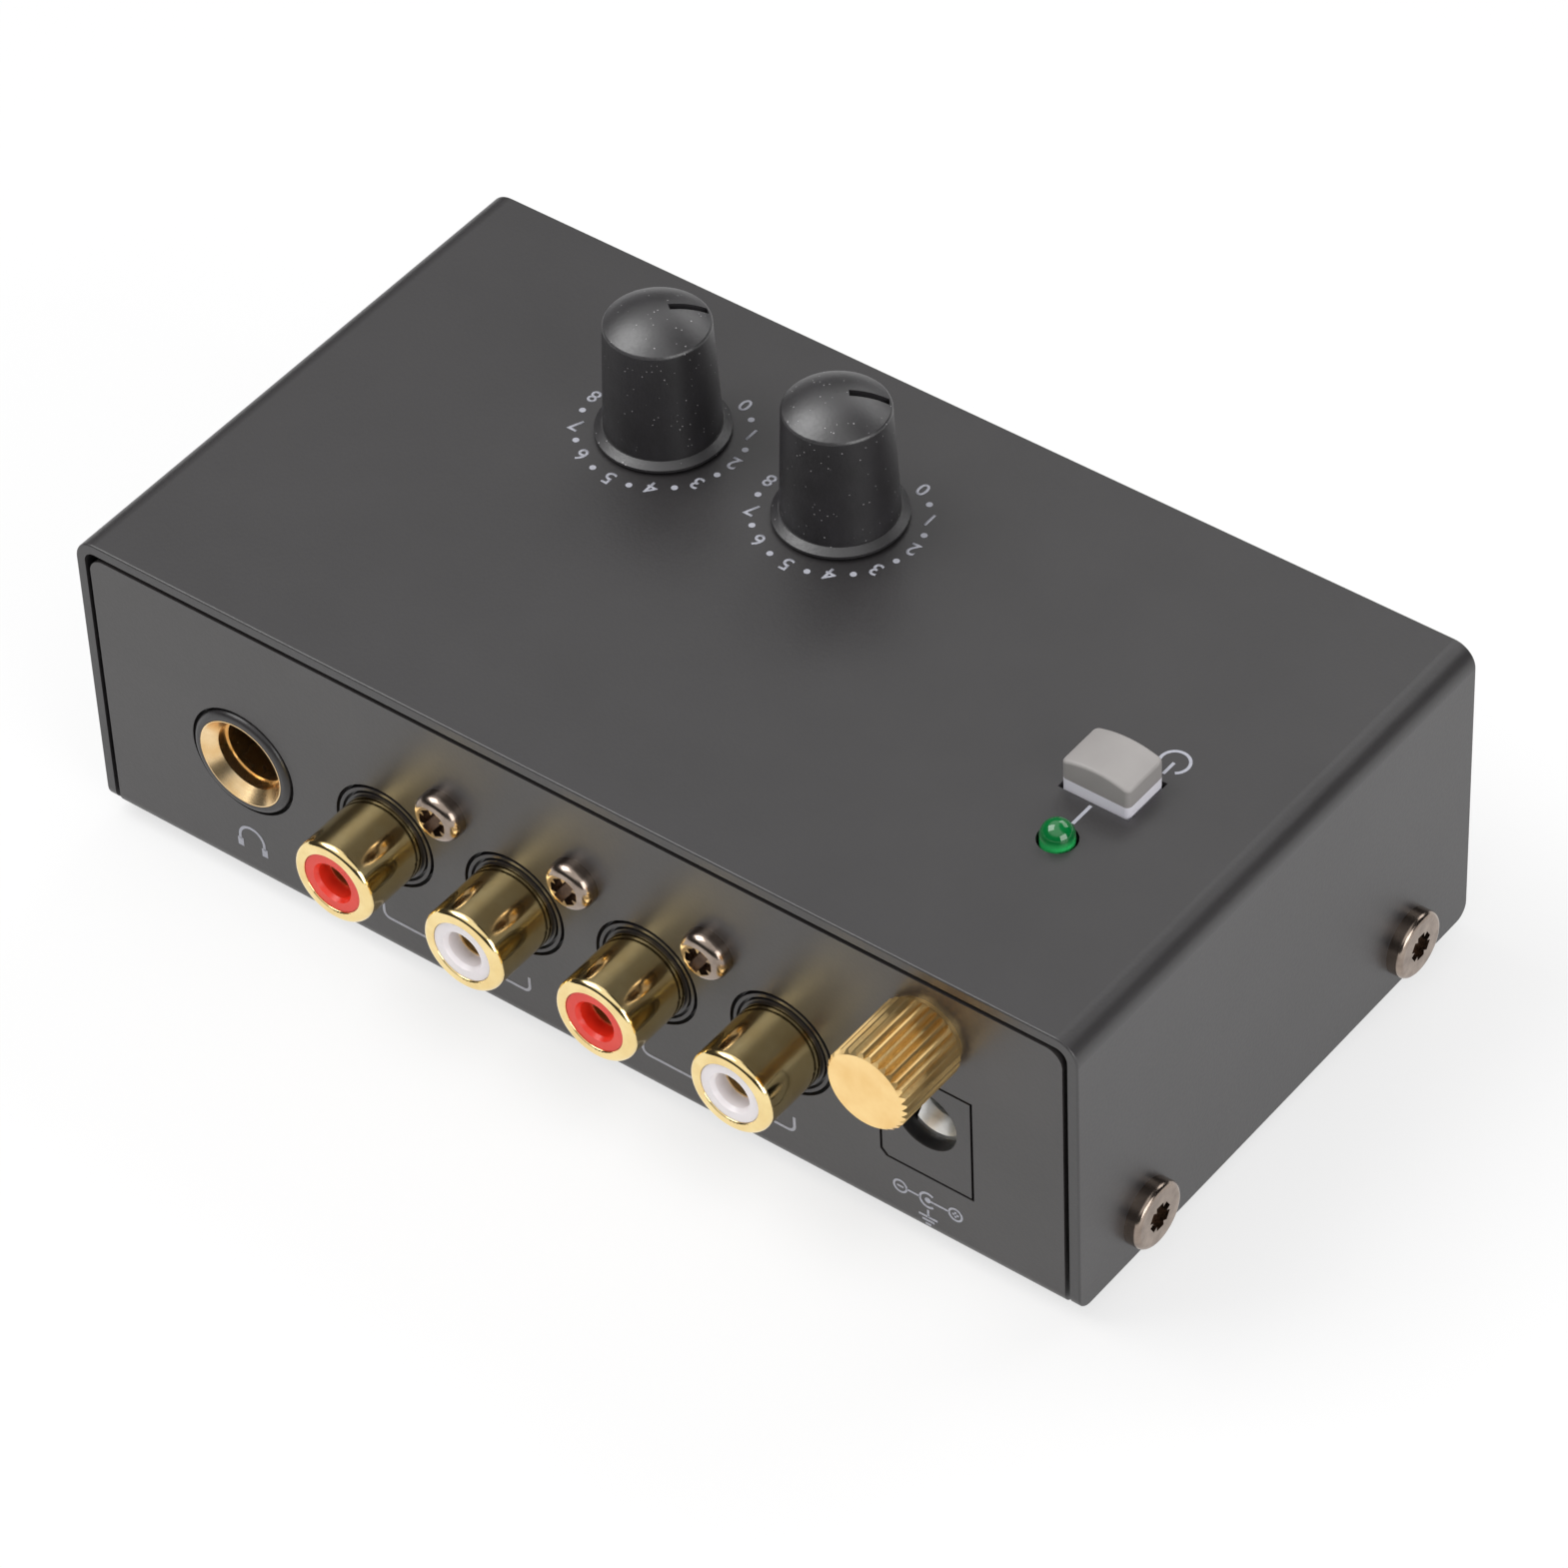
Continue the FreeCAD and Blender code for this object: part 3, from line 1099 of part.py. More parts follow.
def make_insert(i, label):
    """Hard core of the knob with a D-shaped hole for the shaft."""
    body = revolved(f"Insert_{i + 1}", [
        ("0", "0"), ("insert_radius", "0"), ("insert_radius", "insert_height"),
        ("0", "insert_height")])
    hole = circle(sketch(body, "XY_Plane"), "0", "0", "shaft_radius + shaft_fit")
    pocket(body, hole, "shaft_engagement + shaft_fit", reverse=True)
    key = rectangle(sketch(body, "XY_Plane", "shaft_engagement + shaft_fit"),
                    "shaft_flat + shaft_fit", "key_reach", "-key_width / 2", "key_width / 2")
    pad(body, key, "shaft_flat_length", reverse=True)
    place_on_shaft(body, i, label, "knob_z")
    node(body, f"{label}_knob_insert")


# Power button and switch

def make_button_white():
    """White lower part of the button, pressed on the switch plunger."""
    body = new_body("Button_white")
    block = rectangle(sketch(body, "XY_Plane"), "-button_width / 2", "button_width / 2",
                      "-button_depth / 2", "button_depth / 2")
    pad(body, block, "white_top - white_bottom")
    fillet(body, lambda edge, bounds: along(edge, "z"), "button_corner")
    socket = rectangle(sketch(body, "XY_Plane"), "-plunger_width / 2", "plunger_width / 2",
                       "-plunger_width / 2", "plunger_width / 2")
    pocket(body, socket, "plunger_grip", reverse=True)
    place(body, "button_x", "button_row_y", "white_bottom")
    node(body, "button_base")


def make_button_cap():
    """Grey cap with a shallow arched top and soft edges."""
    body = new_body("Button_cap")
    block = rectangle(sketch(body, "XY_Plane"), "-button_width / 2", "button_width / 2",
                      "-button_depth / 2", "button_depth / 2")
    pad(body, block, "button_cap_height + button_crown")
    fillet(body, lambda edge, bounds: along(edge, "z"), "button_corner")
    centre = "(button_cap_height + button_crown - crown_reach)"
    around = rectangle(sketch(body, "XZ_Plane"), "-crown_reach - overrun",
                       "crown_reach + overrun", f"{centre} - crown_reach - overrun",
                       f"{centre} + crown_reach + overrun")
    circle(around, "0", centre, "crown_reach")
    pocket(body, around, "button_depth + 2 * overrun", symmetric=True)
    low = SIZE["button_cap_height"] / 2
    fillet(body, lambda edge, bounds: edge.BoundBox.ZMin > low, "button_soft")
    place(body, "button_x", "button_row_y", "white_top")
    node(body, "button_cap")


def make_plunger():
    """Square plunger with a collar that the switch body retains."""
    rod = centred_box("Plunger_rod", "button_x", "button_row_y", "plunger_base", "plunger_width",
                      "plunger_width", "plunger_top - plunger_base")
    collar = centred_box("Plunger_collar", "button_x", "button_row_y", "plunger_base",
                         "plunger_collar", "plunger_collar", "plunger_collar_height")
    node(fuse("Plunger", [rod, collar]), "switch_plunger")


def make_switch_body():
    block = centred_box("Switch_block", "button_x", "button_row_y", "board_z", "switch_width",
                        "switch_width", "switch_height")
    room = centred_box("Switch_room", "button_x", "button_row_y", "board_z + switch_wall",
                       "plunger_collar + 2 * plunger_gap", "plunger_collar + 2 * plunger_gap",
                       "switch_height - 2 * switch_wall")
    mouth = centred_box("Switch_mouth", "button_x", "button_row_y", "board_z + switch_wall",
                        "plunger_width + 2 * plunger_gap", "plunger_width + 2 * plunger_gap",
                        "switch_height")
    case = cut("Switch_case", block, fuse("Switch_void", [room, mouth]))
    pins = []
    for sign in ("-", "+"):
        for k in (-1, 0, 1):
            pins.append(lead("Switch_pin", f"button_x {sign} (switch_width - switch_wall) / 2",
                             f"button_row_y + {k} * switch_pitch",
                             "board_z + switch_wall / 2"))
    node(fuse("Switch_body", [case] + pins), "switch_body")


def make_switch_spring():
    low = "board_z + switch_wall"
    tube = cylinder("Spring_tube", "switch_spring_radius", f"plunger_base - ({low})",
                    "button_x", "button_row_y", low)
    core = cylinder("Spring_core", "switch_spring_radius - switch_spring_wall",
                    "switch_height", "button_x", "button_row_y", low)
    node(cut("Spring", tube, core), "switch_spring")


# Power lamp

def make_lamp():
    """Green lamp: rim, round body and a half-ball dome."""
    body = cylinder("Lamp_body", "lamp_radius", "lamp_body", "button_x", "lamp_row_y",
                    "lamp_z - lamp_body")
    rim = cylinder("Lamp_rim", "lamp_rim_radius", "lamp_rim_height", "button_x", "lamp_row_y",
                   "lamp_foot")
    dome = doc.addObject("Part::Sphere", "Lamp_dome")
    bind(dome, "Radius", "lamp_radius")
    place(dome, "button_x", "lamp_row_y", "lamp_z")
    node(fuse("Lamp", [body, rim, dome]), "power_lamp")


def make_lamp_leads():
    pieces = []
    for sign in ("-", "+"):
        x = f"button_x {sign} lamp_lead_pitch / 2"
        pieces.append(lead("Lamp_lead", x, "lamp_row_y", "lamp_foot"))
    node(group("Lamp_leads", pieces), "lamp_leads")


def make_lamp_spacer():
    """Plastic post that holds the lamp up at the cover."""
    post = cylinder("Spacer_post", "lamp_rim_radius", "lamp_foot - board_z", "button_x",
                    "lamp_row_y", "board_z")
    holes = []
    for sign in ("-", "+"):
        holes.append(cylinder("Spacer_hole", "lead_radius + lead_hole_gap / 2",
                              "lamp_foot - board_z", f"button_x {sign} lamp_lead_pitch / 2",
                              "lamp_row_y", "board_z"))
    node(cut("Spacer", post, fuse("Spacer_holes", holes)), "lamp_spacer")


# Circuit

def make_chip(i):
    """Dual in-line amplifier with eight leads."""
    x = f"chip_first_x + {i} * chip_spacing"
    y = "front_y + chip_front"
    pieces = [centred_box("Chip_block", x, y, "board_z + chip_lift", "chip_length", "chip_width",
                          "chip_height")]
    middle = "board_z + chip_lift + chip_height / 2"
    for sign in ("-", "+"):
        for k in (-1.5, -0.5, 0.5, 1.5):
            pin_x = f"{x} + {k} * chip_pitch"
            row_y = f"{y} {sign} chip_row / 2"
            pieces.append(lead("Chip_pin", pin_x, row_y, middle))
            pieces.append(centred_box("Chip_shoulder", pin_x, f"{y} {sign} chip_row / 4",
                                      f"{middle} - lead_radius", "2 * lead_radius",
                                      "chip_row / 2 + 2 * lead_radius", "2 * lead_radius"))
    node(fuse(f"Chip_{i + 1}", pieces), f"amplifier_chip_{i + 1}")


def make_can(i):
    """Upright electrolytic capacitor."""
    x = f"can_first_x + {i} * can_spacing"
    y = "rear_y - can_rear"
    body = revolved(f"Can_{i + 1}", [("0", "0"), ("can_radius", "0"),
                                     ("can_radius", "can_height"), ("0", "can_height")])
    rim = SIZE["can_radius"]
    height = SIZE["can_height"]
    fillet(body, lambda edge, bounds: ring(edge, rim, height), "can_round")
    place(body, x, y, "board_z")
    pieces = [body]
    for sign in ("-", "+"):
        pieces.append(lead("Can_lead", f"{x} {sign} can_pitch / 2", y, "board_z + can_round"))
    node(fuse(f"Capacitor_{i + 1}", pieces), f"electrolytic_{i + 1}")


def make_film(i):
    """Film capacitor in a box."""
    x = f"film_first_x + {i} * film_spacing"
    y = "rear_y - film_rear"
    pieces = [centred_box("Film_block", x, y, "board_z", "film_length", "film_width",
                          "film_height")]
    for sign in ("-", "+"):
        pieces.append(lead("Film_lead", f"{x} {sign} film_pitch / 2", y, "board_z + lead_radius"))
    node(fuse(f"Film_{i + 1}", pieces), f"film_capacitor_{i + 1}")


def make_resistors():
    """A row of resistors lying on the board, each bent down at both ends."""
    row = []
    axis = "board_z + resistor_radius"
    middle = "front_y + resistor_front"
    for i in range(SIZE["resistor_count"]):
        spot = f"resistor_first_x + {i} * resistor_row"
        drum = cylinder("Drum", "resistor_radius", "resistor_length", spot,
                        f"{middle} + resistor_length / 2", axis, FRONTWARD)
        wire = cylinder("Wire", "lead_radius", "resistor_pitch", spot,
                        f"{middle} + resistor_pitch / 2", axis, FRONTWARD)
        ends = [lead("Wire_end", spot, f"{middle} {sign} resistor_pitch / 2", axis)
                for sign in ("-", "+")]
        row.append(fuse("Resistor", [drum, wire] + ends))
    node(group("Resistors", row), "resistors")


def make_regulator():
    """Voltage regulator standing on three leads, its metal tab above."""
    x = "regulator_x"
    y = "rear_y - regulator_rear"
    base = "board_z + regulator_lift"
    block = centred_box("Regulator_block", x, y, base, "regulator_width", "regulator_thickness",
                        "regulator_body")
    tab = box("Regulator_tab", f"{x} - regulator_width / 2", f"{y} - regulator_thickness / 2",
              base, "regulator_width", "regulator_tab_thickness",
              "regulator_body + regulator_tab")
    hole = cylinder("Regulator_hole", "regulator_hole", "2 * regulator_thickness", x,
                    f"{y} + regulator_thickness", f"{base} + regulator_body + regulator_tab / 2",
                    FRONTWARD)
    whole = cut("Regulator_shape", fuse("Regulator_blank", [block, tab]), hole)
    pins = [lead("Regulator_pin", f"{x} + {k} * chip_pitch", y, f"{base} + lead_radius")
            for k in (-1, 0, 1)]
    node(fuse("Regulator", [whole] + pins), "voltage_regulator")


def make_board():
    """Circuit board with its screw holes and a hole for every lead."""
    plate = box("Board_plate", "-board_end", "front_y + sheet_steel + board_front_gap",
                "board_z - board_thickness", "2 * board_end",
                "case_depth - 2 * sheet_steel - board_front_gap - board_rear_gap",
                "board_thickness")
    holes = list(BOARD_HOLES)
    for x, y in BOARD_SCREW_SPOTS:
        holes.append(through_board("Board_screw_hole", "board_screw_shank + screw_hole_gap", x, y))
    node(cut("Board", plate, fuse("Board_holes", holes)), "circuit_board")


# Assembly

make_cover()
make_base_tray()
make_feet()
make_side_screws()
make_panel_screws()
make_standoffs()
make_board_screws()
make_rca_housing()
for socket in range(SIZE["rca_count"]):
    make_rca_shell(socket)
    make_rca_insulator(socket)
    make_rca_contact(socket)
make_jack_body()
make_jack_ferrule()
make_jack_spring("Ring_spring", "jack_ring_spring", "jack_ring_spring_depth", 1)
make_jack_spring("Tip_spring", "jack_tip_spring", "jack_tip_spring_depth", -1)
make_dc_body()
make_dc_pin()
make_dc_spring()
make_ground_stud()
make_ground_washer()
make_ground_nut()
make_ground_strap()
for number, control in enumerate(("volume", "level")):
    make_pot(number, control)
    make_bushing(number, control)
    make_shaft(number, control)
    make_knob(number, control)
    make_insert(number, control)
make_button_white()
make_button_cap()
make_plunger()
make_switch_body()
make_switch_spring()
make_lamp()
make_lamp_leads()
make_lamp_spacer()
for number in range(2):
    make_chip(number)
    make_film(number)
for number in range(3):
    make_can(number)
make_resistors()
make_regulator()
make_board()
doc.recompute()


def check():
    """Stop if any object failed or any node is not a sound solid."""
    for item in doc.Objects:
        if any(word in item.State for word in ("Invalid", "Error")):
            raise RuntimeError(f"{item.Name} ({item.Label}): {item.State}")
    for item in NODES:
        shape = item.Shape
        if shape.isNull() or not shape.isValid() or not shape.Solids:
            raise RuntimeError(f"{item.Label}: no valid solid")


check()
os.makedirs("parts", exist_ok=True)
for item in NODES:
    item.Shape.exportStep(f"parts/{item.Label}.step")
print(len(NODES), "nodes written")
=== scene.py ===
"""Finishes, print, studio and camera for a small desktop phono preamp.

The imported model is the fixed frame. This script gives each of its nodes the finish of the real
material, adds the printed scales and symbols, and sets up a pale studio. Lengths are metres, in
the model's own frame: +Z up, the connector panel facing -Y.
"""
import json
import math

import bmesh
import bpy
from bpy.props import FloatProperty, FloatVectorProperty, PointerProperty
from mathutils import Matrix, Vector


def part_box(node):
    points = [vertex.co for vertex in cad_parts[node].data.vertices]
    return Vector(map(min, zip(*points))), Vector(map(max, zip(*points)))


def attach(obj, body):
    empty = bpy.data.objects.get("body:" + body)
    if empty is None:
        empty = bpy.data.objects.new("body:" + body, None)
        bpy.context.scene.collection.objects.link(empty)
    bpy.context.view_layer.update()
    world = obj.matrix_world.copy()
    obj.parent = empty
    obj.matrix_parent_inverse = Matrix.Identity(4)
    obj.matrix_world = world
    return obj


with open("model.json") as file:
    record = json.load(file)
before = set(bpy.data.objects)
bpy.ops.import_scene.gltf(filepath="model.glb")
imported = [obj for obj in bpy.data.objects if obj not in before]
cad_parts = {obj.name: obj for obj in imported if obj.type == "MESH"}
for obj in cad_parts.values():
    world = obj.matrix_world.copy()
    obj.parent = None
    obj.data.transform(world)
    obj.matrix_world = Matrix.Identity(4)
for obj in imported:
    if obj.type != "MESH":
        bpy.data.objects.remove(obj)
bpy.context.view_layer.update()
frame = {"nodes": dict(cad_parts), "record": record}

bl_info = {
    "name": "Phono preamp finishes",
    "version": (1, 0, 0),
    "blender": (4, 5, 0),
    "location": "3D View > Sidebar > Preamp",
    "description": "Finishes, print, studio and camera for a small phono preamp",
    "category": "Object",
}

MM = 0.001
COVER_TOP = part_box("cover")[1].z
CASE_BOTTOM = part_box("cover")[0].z
PANEL_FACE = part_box("base_tray")[0].y


# Colour and nodes

def linear(code, alpha=1.0):
    """The linear colour of an sRGB hex code."""
    values = [int(code[i:i + 2], 16) / 255 for i in (1, 3, 5)]
    values = [v / 12.92 if v <= 0.04045 else ((v + 0.055) / 1.055) ** 2.4 for v in values]
    return (*values, alpha)


def add(tree, kind, inputs=None, **settings):
    """A new shader node with its settings, and its inputs given as values or as sockets."""
    node = tree.nodes.new("ShaderNode" + kind)
    for name, value in settings.items():
        setattr(node, name, value)
    for name, value in (inputs or {}).items():
        if isinstance(value, bpy.types.NodeSocket):
            tree.links.new(value, node.inputs[name])
        else:
            node.inputs[name].default_value = value
    return node


def maths(tree, operation, first, second):
    """The result of one sum on two values or sockets."""
    return add(tree, "Math", {0: first, 1: second}, operation=operation).outputs["Value"]


def ramp(tree, factor, stops):
    """A colour ramp through (position, linear colour or grey level) stops."""
    node = add(tree, "ValToRGB", {"Fac": factor})
    band = node.color_ramp
    while len(band.elements) < len(stops):
        band.elements.new(0.5)
    for element, (position, value) in zip(band.elements, stops):
        element.position = position
        element.color = value if isinstance(value, tuple) else (value, value, value, 1)
    return node.outputs["Color"]


def start(name):
    """A new material with an empty node tree and its output node."""
    material = bpy.data.materials.new(name)
    material.use_nodes = True
    tree = material.node_tree
    tree.nodes.clear()
    return material, tree, add(tree, "OutputMaterial")


def millimetres(tree):
    """The surface point in the model's frame, in millimetres."""
    place = add(tree, "TexCoord").outputs["Object"]
    return add(tree, "Mapping", {"Vector": place, "Scale": (1000, 1000, 1000)}).outputs["Vector"]


def grain(tree, where, size, detail=2.0):
    """Noise whose lumps are about this many millimetres across, from 0 to 1."""
    return add(tree, "TexNoise", {"Vector": where, "Scale": 1 / size,
                                  "Detail": detail}).outputs["Fac"]


def between(tree, factor, low, high):
    """A value that runs from low to high as the factor runs from 0 to 1."""
    return add(tree, "MapRange", {"Value": factor, "To Min": low,
                                  "To Max": high}).outputs["Result"]


def relief(tree, height, depth):
    """A normal from a height of 0 to 1 that stands for this many millimetres."""
    return add(tree, "Bump", {"Height": height, "Distance": depth * MM,
                              "Strength": 1.0}).outputs["Normal"]


def close(tree, out, inputs):
    """End a material in one principled shader."""
    shader = add(tree, "BsdfPrincipled", inputs)
    tree.links.new(shader.outputs["BSDF"], out.inputs["Surface"])


# Finishes

COAT_GRAIN = 0.3  # millimetres: coarser than the real 0.1, as the finest that the render shows
COAT_DEPTH = 0.012  # millimetres, height of the orange peel
COAT_CLOUD = 9.0  # millimetres, size of the faint clouds in the colour
COAT_ROUGH = (0.34, 0.44)
COAT_SHEEN = 0.75  # specular level of the satin powder


def sprayed(tree, out, where, tint):
    """End a material in sprayed and baked powder of this colour."""
    peel = grain(tree, where, COAT_GRAIN, 3.0)
    close(tree, out, {"Base Color": tint, "Roughness": between(tree, peel, *COAT_ROUGH),
                      "Specular IOR Level": COAT_SHEEN,
                      "Normal": relief(tree, peel, COAT_DEPTH)})


def powder_coat(name, colour, edge):
    """Sprayed and baked powder on steel: a fine satin orange peel with a soft sheen."""
    material, tree, out = start(name)
    where = millimetres(tree)
    cloud = grain(tree, where, COAT_CLOUD, 3.0)
    sprayed(tree, out, where, ramp(tree, cloud, [(0.3, colour), (0.7, edge)]))
    return material


DUST_CELLS = 1.9  # cells to the millimetre, each of which may hold one grain of dust
DUST_REACH = 0.11  # radius of a grain as a share of its cell
DUST_PATCH = 1.3  # millimetres, size of the patches that hold dust


def moulded(name, colour, shade, roughness, grain_size=0.35, depth=0.008, speck=None,
            ior=1.5):
    """Injection-moulded plastic or rubber with a spark-eroded surface, and pale dust if asked."""
    material, tree, out = start(name)
    where = millimetres(tree)
    texture = grain(tree, where, grain_size)
    tint = ramp(tree, grain(tree, where, 4.0), [(0.35, colour), (0.7, shade)])
    if speck:
        cells = add(tree, "TexVoronoi", {"Vector": where, "Scale": DUST_CELLS}, feature="F1")
        dust = maths(tree, "LESS_THAN", cells.outputs["Distance"], DUST_REACH)
        patch = maths(tree, "GREATER_THAN", grain(tree, where, DUST_PATCH), 0.5)
        tint = add(tree, "Mix", {"Factor": maths(tree, "MULTIPLY", dust, patch), "A": tint,
                                 "B": speck}, data_type="RGBA").outputs["Result"]
    close(tree, out, {"Base Color": tint, "IOR": ior,
                      "Roughness": between(tree, texture, roughness - 0.05, roughness + 0.06),
                      "Normal": relief(tree, texture, depth)})
    return material


def faced_with_bore_shade(name, face, body, depth):
    """Dark moulded plastic, its front sprayed with the panel to this many millimetres deep.
    Deeper in, the near-black is partly the plastic and partly painted shade in the bore.
    """
    material, tree, out = start(name)
    where = millimetres(tree)
    depth_in = add(tree, "SeparateXYZ", {"Vector": where}).outputs["Y"]
    edge = PANEL_FACE / MM + depth
    # Past this depth the near-black is partly the inlet's plastic and partly painted shade in the
    # bore.
    coat = maths(tree, "LESS_THAN", depth_in, edge)
    tint = add(tree, "Mix", {"Factor": coat, "A": body, "B": face}, data_type="RGBA")
    sprayed(tree, out, where, tint.outputs["Result"])
    return material


def turned(name, colour, shade, roughness, pitch, depth):
    """Metal turned on a lathe: fine rings along Y, the way the sockets face, and a tarnish."""
    material, tree, out = start(name)
    where = millimetres(tree)
    along = add(tree, "SeparateXYZ", {"Vector": where})
    ring = add(tree, "CombineXYZ", {"Y": along.outputs["Y"]})
    rings = add(tree, "TexNoise", {"Vector": ring.outputs["Vector"], "Scale": 1 / pitch,
                                   "Detail": 1.0}).outputs["Fac"]
    stain = grain(tree, where, 2.2, 3.0)
    tint = ramp(tree, stain, [(0.3, colour), (0.72, shade)])
    close(tree, out, {"Base Color": tint, "Metallic": 1.0,
                      "Roughness": between(tree, stain, roughness, roughness + 0.06),
                      "Normal": relief(tree, rings, depth)})
    return material


def plated(name, colour, shade, roughness):
    """Bright plating on a stamped or headed piece, with a faint cloudiness."""
    material, tree, out = start(name)
    where = millimetres(tree)
    stain = grain(tree, where, 1.2, 3.0)
    close(tree, out, {"Base Color": ramp(tree, stain, [(0.3, colour), (0.7, shade)]),
                      "Metallic": 1.0,
                      "Roughness": between(tree, stain, roughness, roughness + 0.1),
                      "Normal": relief(tree, grain(tree, where, 0.5), 0.004)})
    return material


def brushed(name, colour, shade, roughness):
    """Rolled or brushed steel and aluminium: fine streaks along the piece."""
    material, tree, out = start(name)
    where = millimetres(tree)
    stretch = add(tree, "Mapping", {"Vector": where, "Scale": (0.08, 1.0, 1.0)})
    streak = grain(tree, stretch.outputs["Vector"], 0.25, 3.0)
    close(tree, out, {"Base Color": ramp(tree, streak, [(0.3, colour), (0.7, shade)]),
                      "Metallic": 1.0,
                      "Roughness": between(tree, streak, roughness, roughness + 0.12),
                      "Normal": relief(tree, streak, 0.004)})
    return material


# The lamp's colours run from a painted glow at its foot to its own tint in the dome.
LAMP_BELOW = 0.3 * MM  # depth under the cover's top where the lamp's range of colours starts
LAMP_ABOVE = 1.9 * MM  # height over the cover's top where that range ends


def clear_resin(name, colour, painted_glow, low, high):
    """Tinted epoxy of a lamp: glossy, darker in the dome, and painted bright below where light
    gathers.
    """
    material, tree, out = start(name)
    where = millimetres(tree)
    height = add(tree, "SeparateXYZ", {"Vector": where}).outputs["Z"]
    rise = add(tree, "MapRange", {"Value": height, "From Min": low / MM,
                                  "From Max": high / MM}).outputs["Result"]
    # The bright band at the foot of the lamp is a painted glow, for light that gathers in the
    # resin.
    tint = ramp(tree, rise, [(0.0, painted_glow), (0.2, painted_glow), (0.48, colour), (1.0, colour)])
    close(tree, out, {"Base Color": tint, "Roughness": 0.06, "IOR": 1.53,
                      "Transmission Weight": 0.2, "Coat Weight": 0.4, "Coat Roughness": 0.03,
                      "Normal": relief(tree, grain(tree, where, 0.9), 0.002)})
    return material


def screen_ink(name, colour):
    """Screen-printed ink: matt, with a slightly uneven lay-down."""
    material, tree, out = start(name)
    where = millimetres(tree)
    lay = grain(tree, where, 0.25, 3.0)
    tint = ramp(tree, lay, [(0.25, tuple(c * 0.85 for c in colour[:3]) + (1,)), (0.7, colour)])
    close(tree, out, {"Base Color": tint, "Roughness": 0.62, "Normal": relief(tree, lay, 0.006)})
    return material


def solder_mask(name, colour, copper):
    """Green lacquer over etched copper on a glass laminate, with the tracks just visible."""
    material, tree, out = start(name)
    where = millimetres(tree)
    lines = add(tree, "TexBrick", {"Vector": where, "Scale": 1.0, "Brick Width": 9.0,
                                   "Row Height": 2.2, "Mortar Size": 0.25, "Mortar Smooth": 0.1,
                                   "Color1": colour, "Color2": colour, "Mortar": copper})
    close(tree, out, {"Base Color": lines.outputs["Color"], "Roughness": 0.3,
                      "Coat Weight": 0.4, "Normal": relief(tree, lines.outputs["Fac"], 0.03)})
    return material


def banded(name, body, band, pitch, width, axis):
    """A lacquered body with rings or a stripe of another colour at a steady pitch."""
    material, tree, out = start(name)
    where = millimetres(tree)
    along = add(tree, "SeparateXYZ", {"Vector": where}).outputs[axis]
    mask = maths(tree, "LESS_THAN", maths(tree, "PINGPONG", along, pitch), width)
    tint = add(tree, "Mix", {"Factor": mask, "A": body, "B": band}, data_type="RGBA")
    texture = grain(tree, where, 0.8)
    close(tree, out, {"Base Color": tint.outputs["Result"],
                      "Roughness": between(tree, texture, 0.28, 0.4),
                      "Normal": relief(tree, texture, 0.01)})
    return material


def dress(material, *slots):
    """Give a finish to every node whose material slot in the record has one of these names."""
    found = 0
    for part in frame["record"]["subparts"]:
        if part["material_slot"] in slots:
            mesh = frame["nodes"][part["node"]].data
            mesh.materials.clear()
            mesh.materials.append(material)
            found += 1
    if not found:
        raise RuntimeError(f"no node has a slot in {slots}")


# Print

def stroke(mesh, points, width, closed=False):
    """A flat line of this width through points on the XY plane, with mitred corners."""
    points = [Vector((x, y, 0)) for x, y in points]
    count = len(points)
    sides = []
    for i, point in enumerate(points):
        ways = []
        if closed or i > 0:
            ways.append((point - points[i - 1]).normalized())
        if closed or i < count - 1:
            ways.append((points[(i + 1) % count] - point).normalized())
        way = sum(ways, Vector()).normalized()
        across = Vector((-way.y, way.x, 0))
        flat = Vector((-ways[0].y, ways[0].x, 0))
        reach = across * (width / 2 / max(0.35, across.dot(flat)))
        sides.append((mesh.verts.new(point - reach), mesh.verts.new(point + reach)))
    for i in range(count if closed else count - 1):
        a, b = sides[i], sides[(i + 1) % count]
        mesh.faces.new((a[0], b[0], b[1], a[1]))


def disc(mesh, x, y, radius, steps=24):
    """A filled circle on the XY plane."""
    rim = [mesh.verts.new((x + radius * math.cos(math.tau * i / steps),
                           y + radius * math.sin(math.tau * i / steps), 0)) for i in range(steps)]
    mesh.faces.new(rim)


def arc(x, y, radius, first, last, steps=24):
    """Points along an arc, with its angles in degrees."""
    turn = [math.radians(first + (last - first) * i / steps) for i in range(steps + 1)]
    return [(x + radius * math.cos(a), y + radius * math.sin(a)) for a in turn]


def figure(mesh, text, x, y, height):
    """A printed figure of this height, centred on a point of the XY plane."""
    curve = bpy.data.curves.new("figure", "FONT")
    curve.body = text
    curve.offset = 0.012
    source = bpy.data.objects.new("figure", curve)
    bpy.context.collection.objects.link(source)
    bpy.context.view_layer.update()
    glyph = bpy.data.meshes.new_from_object(source.evaluated_get(
        bpy.context.evaluated_depsgraph_get()))
    low = [min(v.co[k] for v in glyph.vertices) for k in (0, 1)]
    high = [max(v.co[k] for v in glyph.vertices) for k in (0, 1)]
    scale = height / (high[1] - low[1])
    centre = Vector(((low[0] + high[0]) / 2, (low[1] + high[1]) / 2, 0))
    glyph.transform(Matrix.Translation((x, y, 0)) @ Matrix.Scale(scale, 4)
                    @ Matrix.Translation(-centre))
    mesh.from_mesh(glyph)
    bpy.data.objects.remove(source)
    bpy.data.curves.remove(curve)
    bpy.data.meshes.remove(glyph)


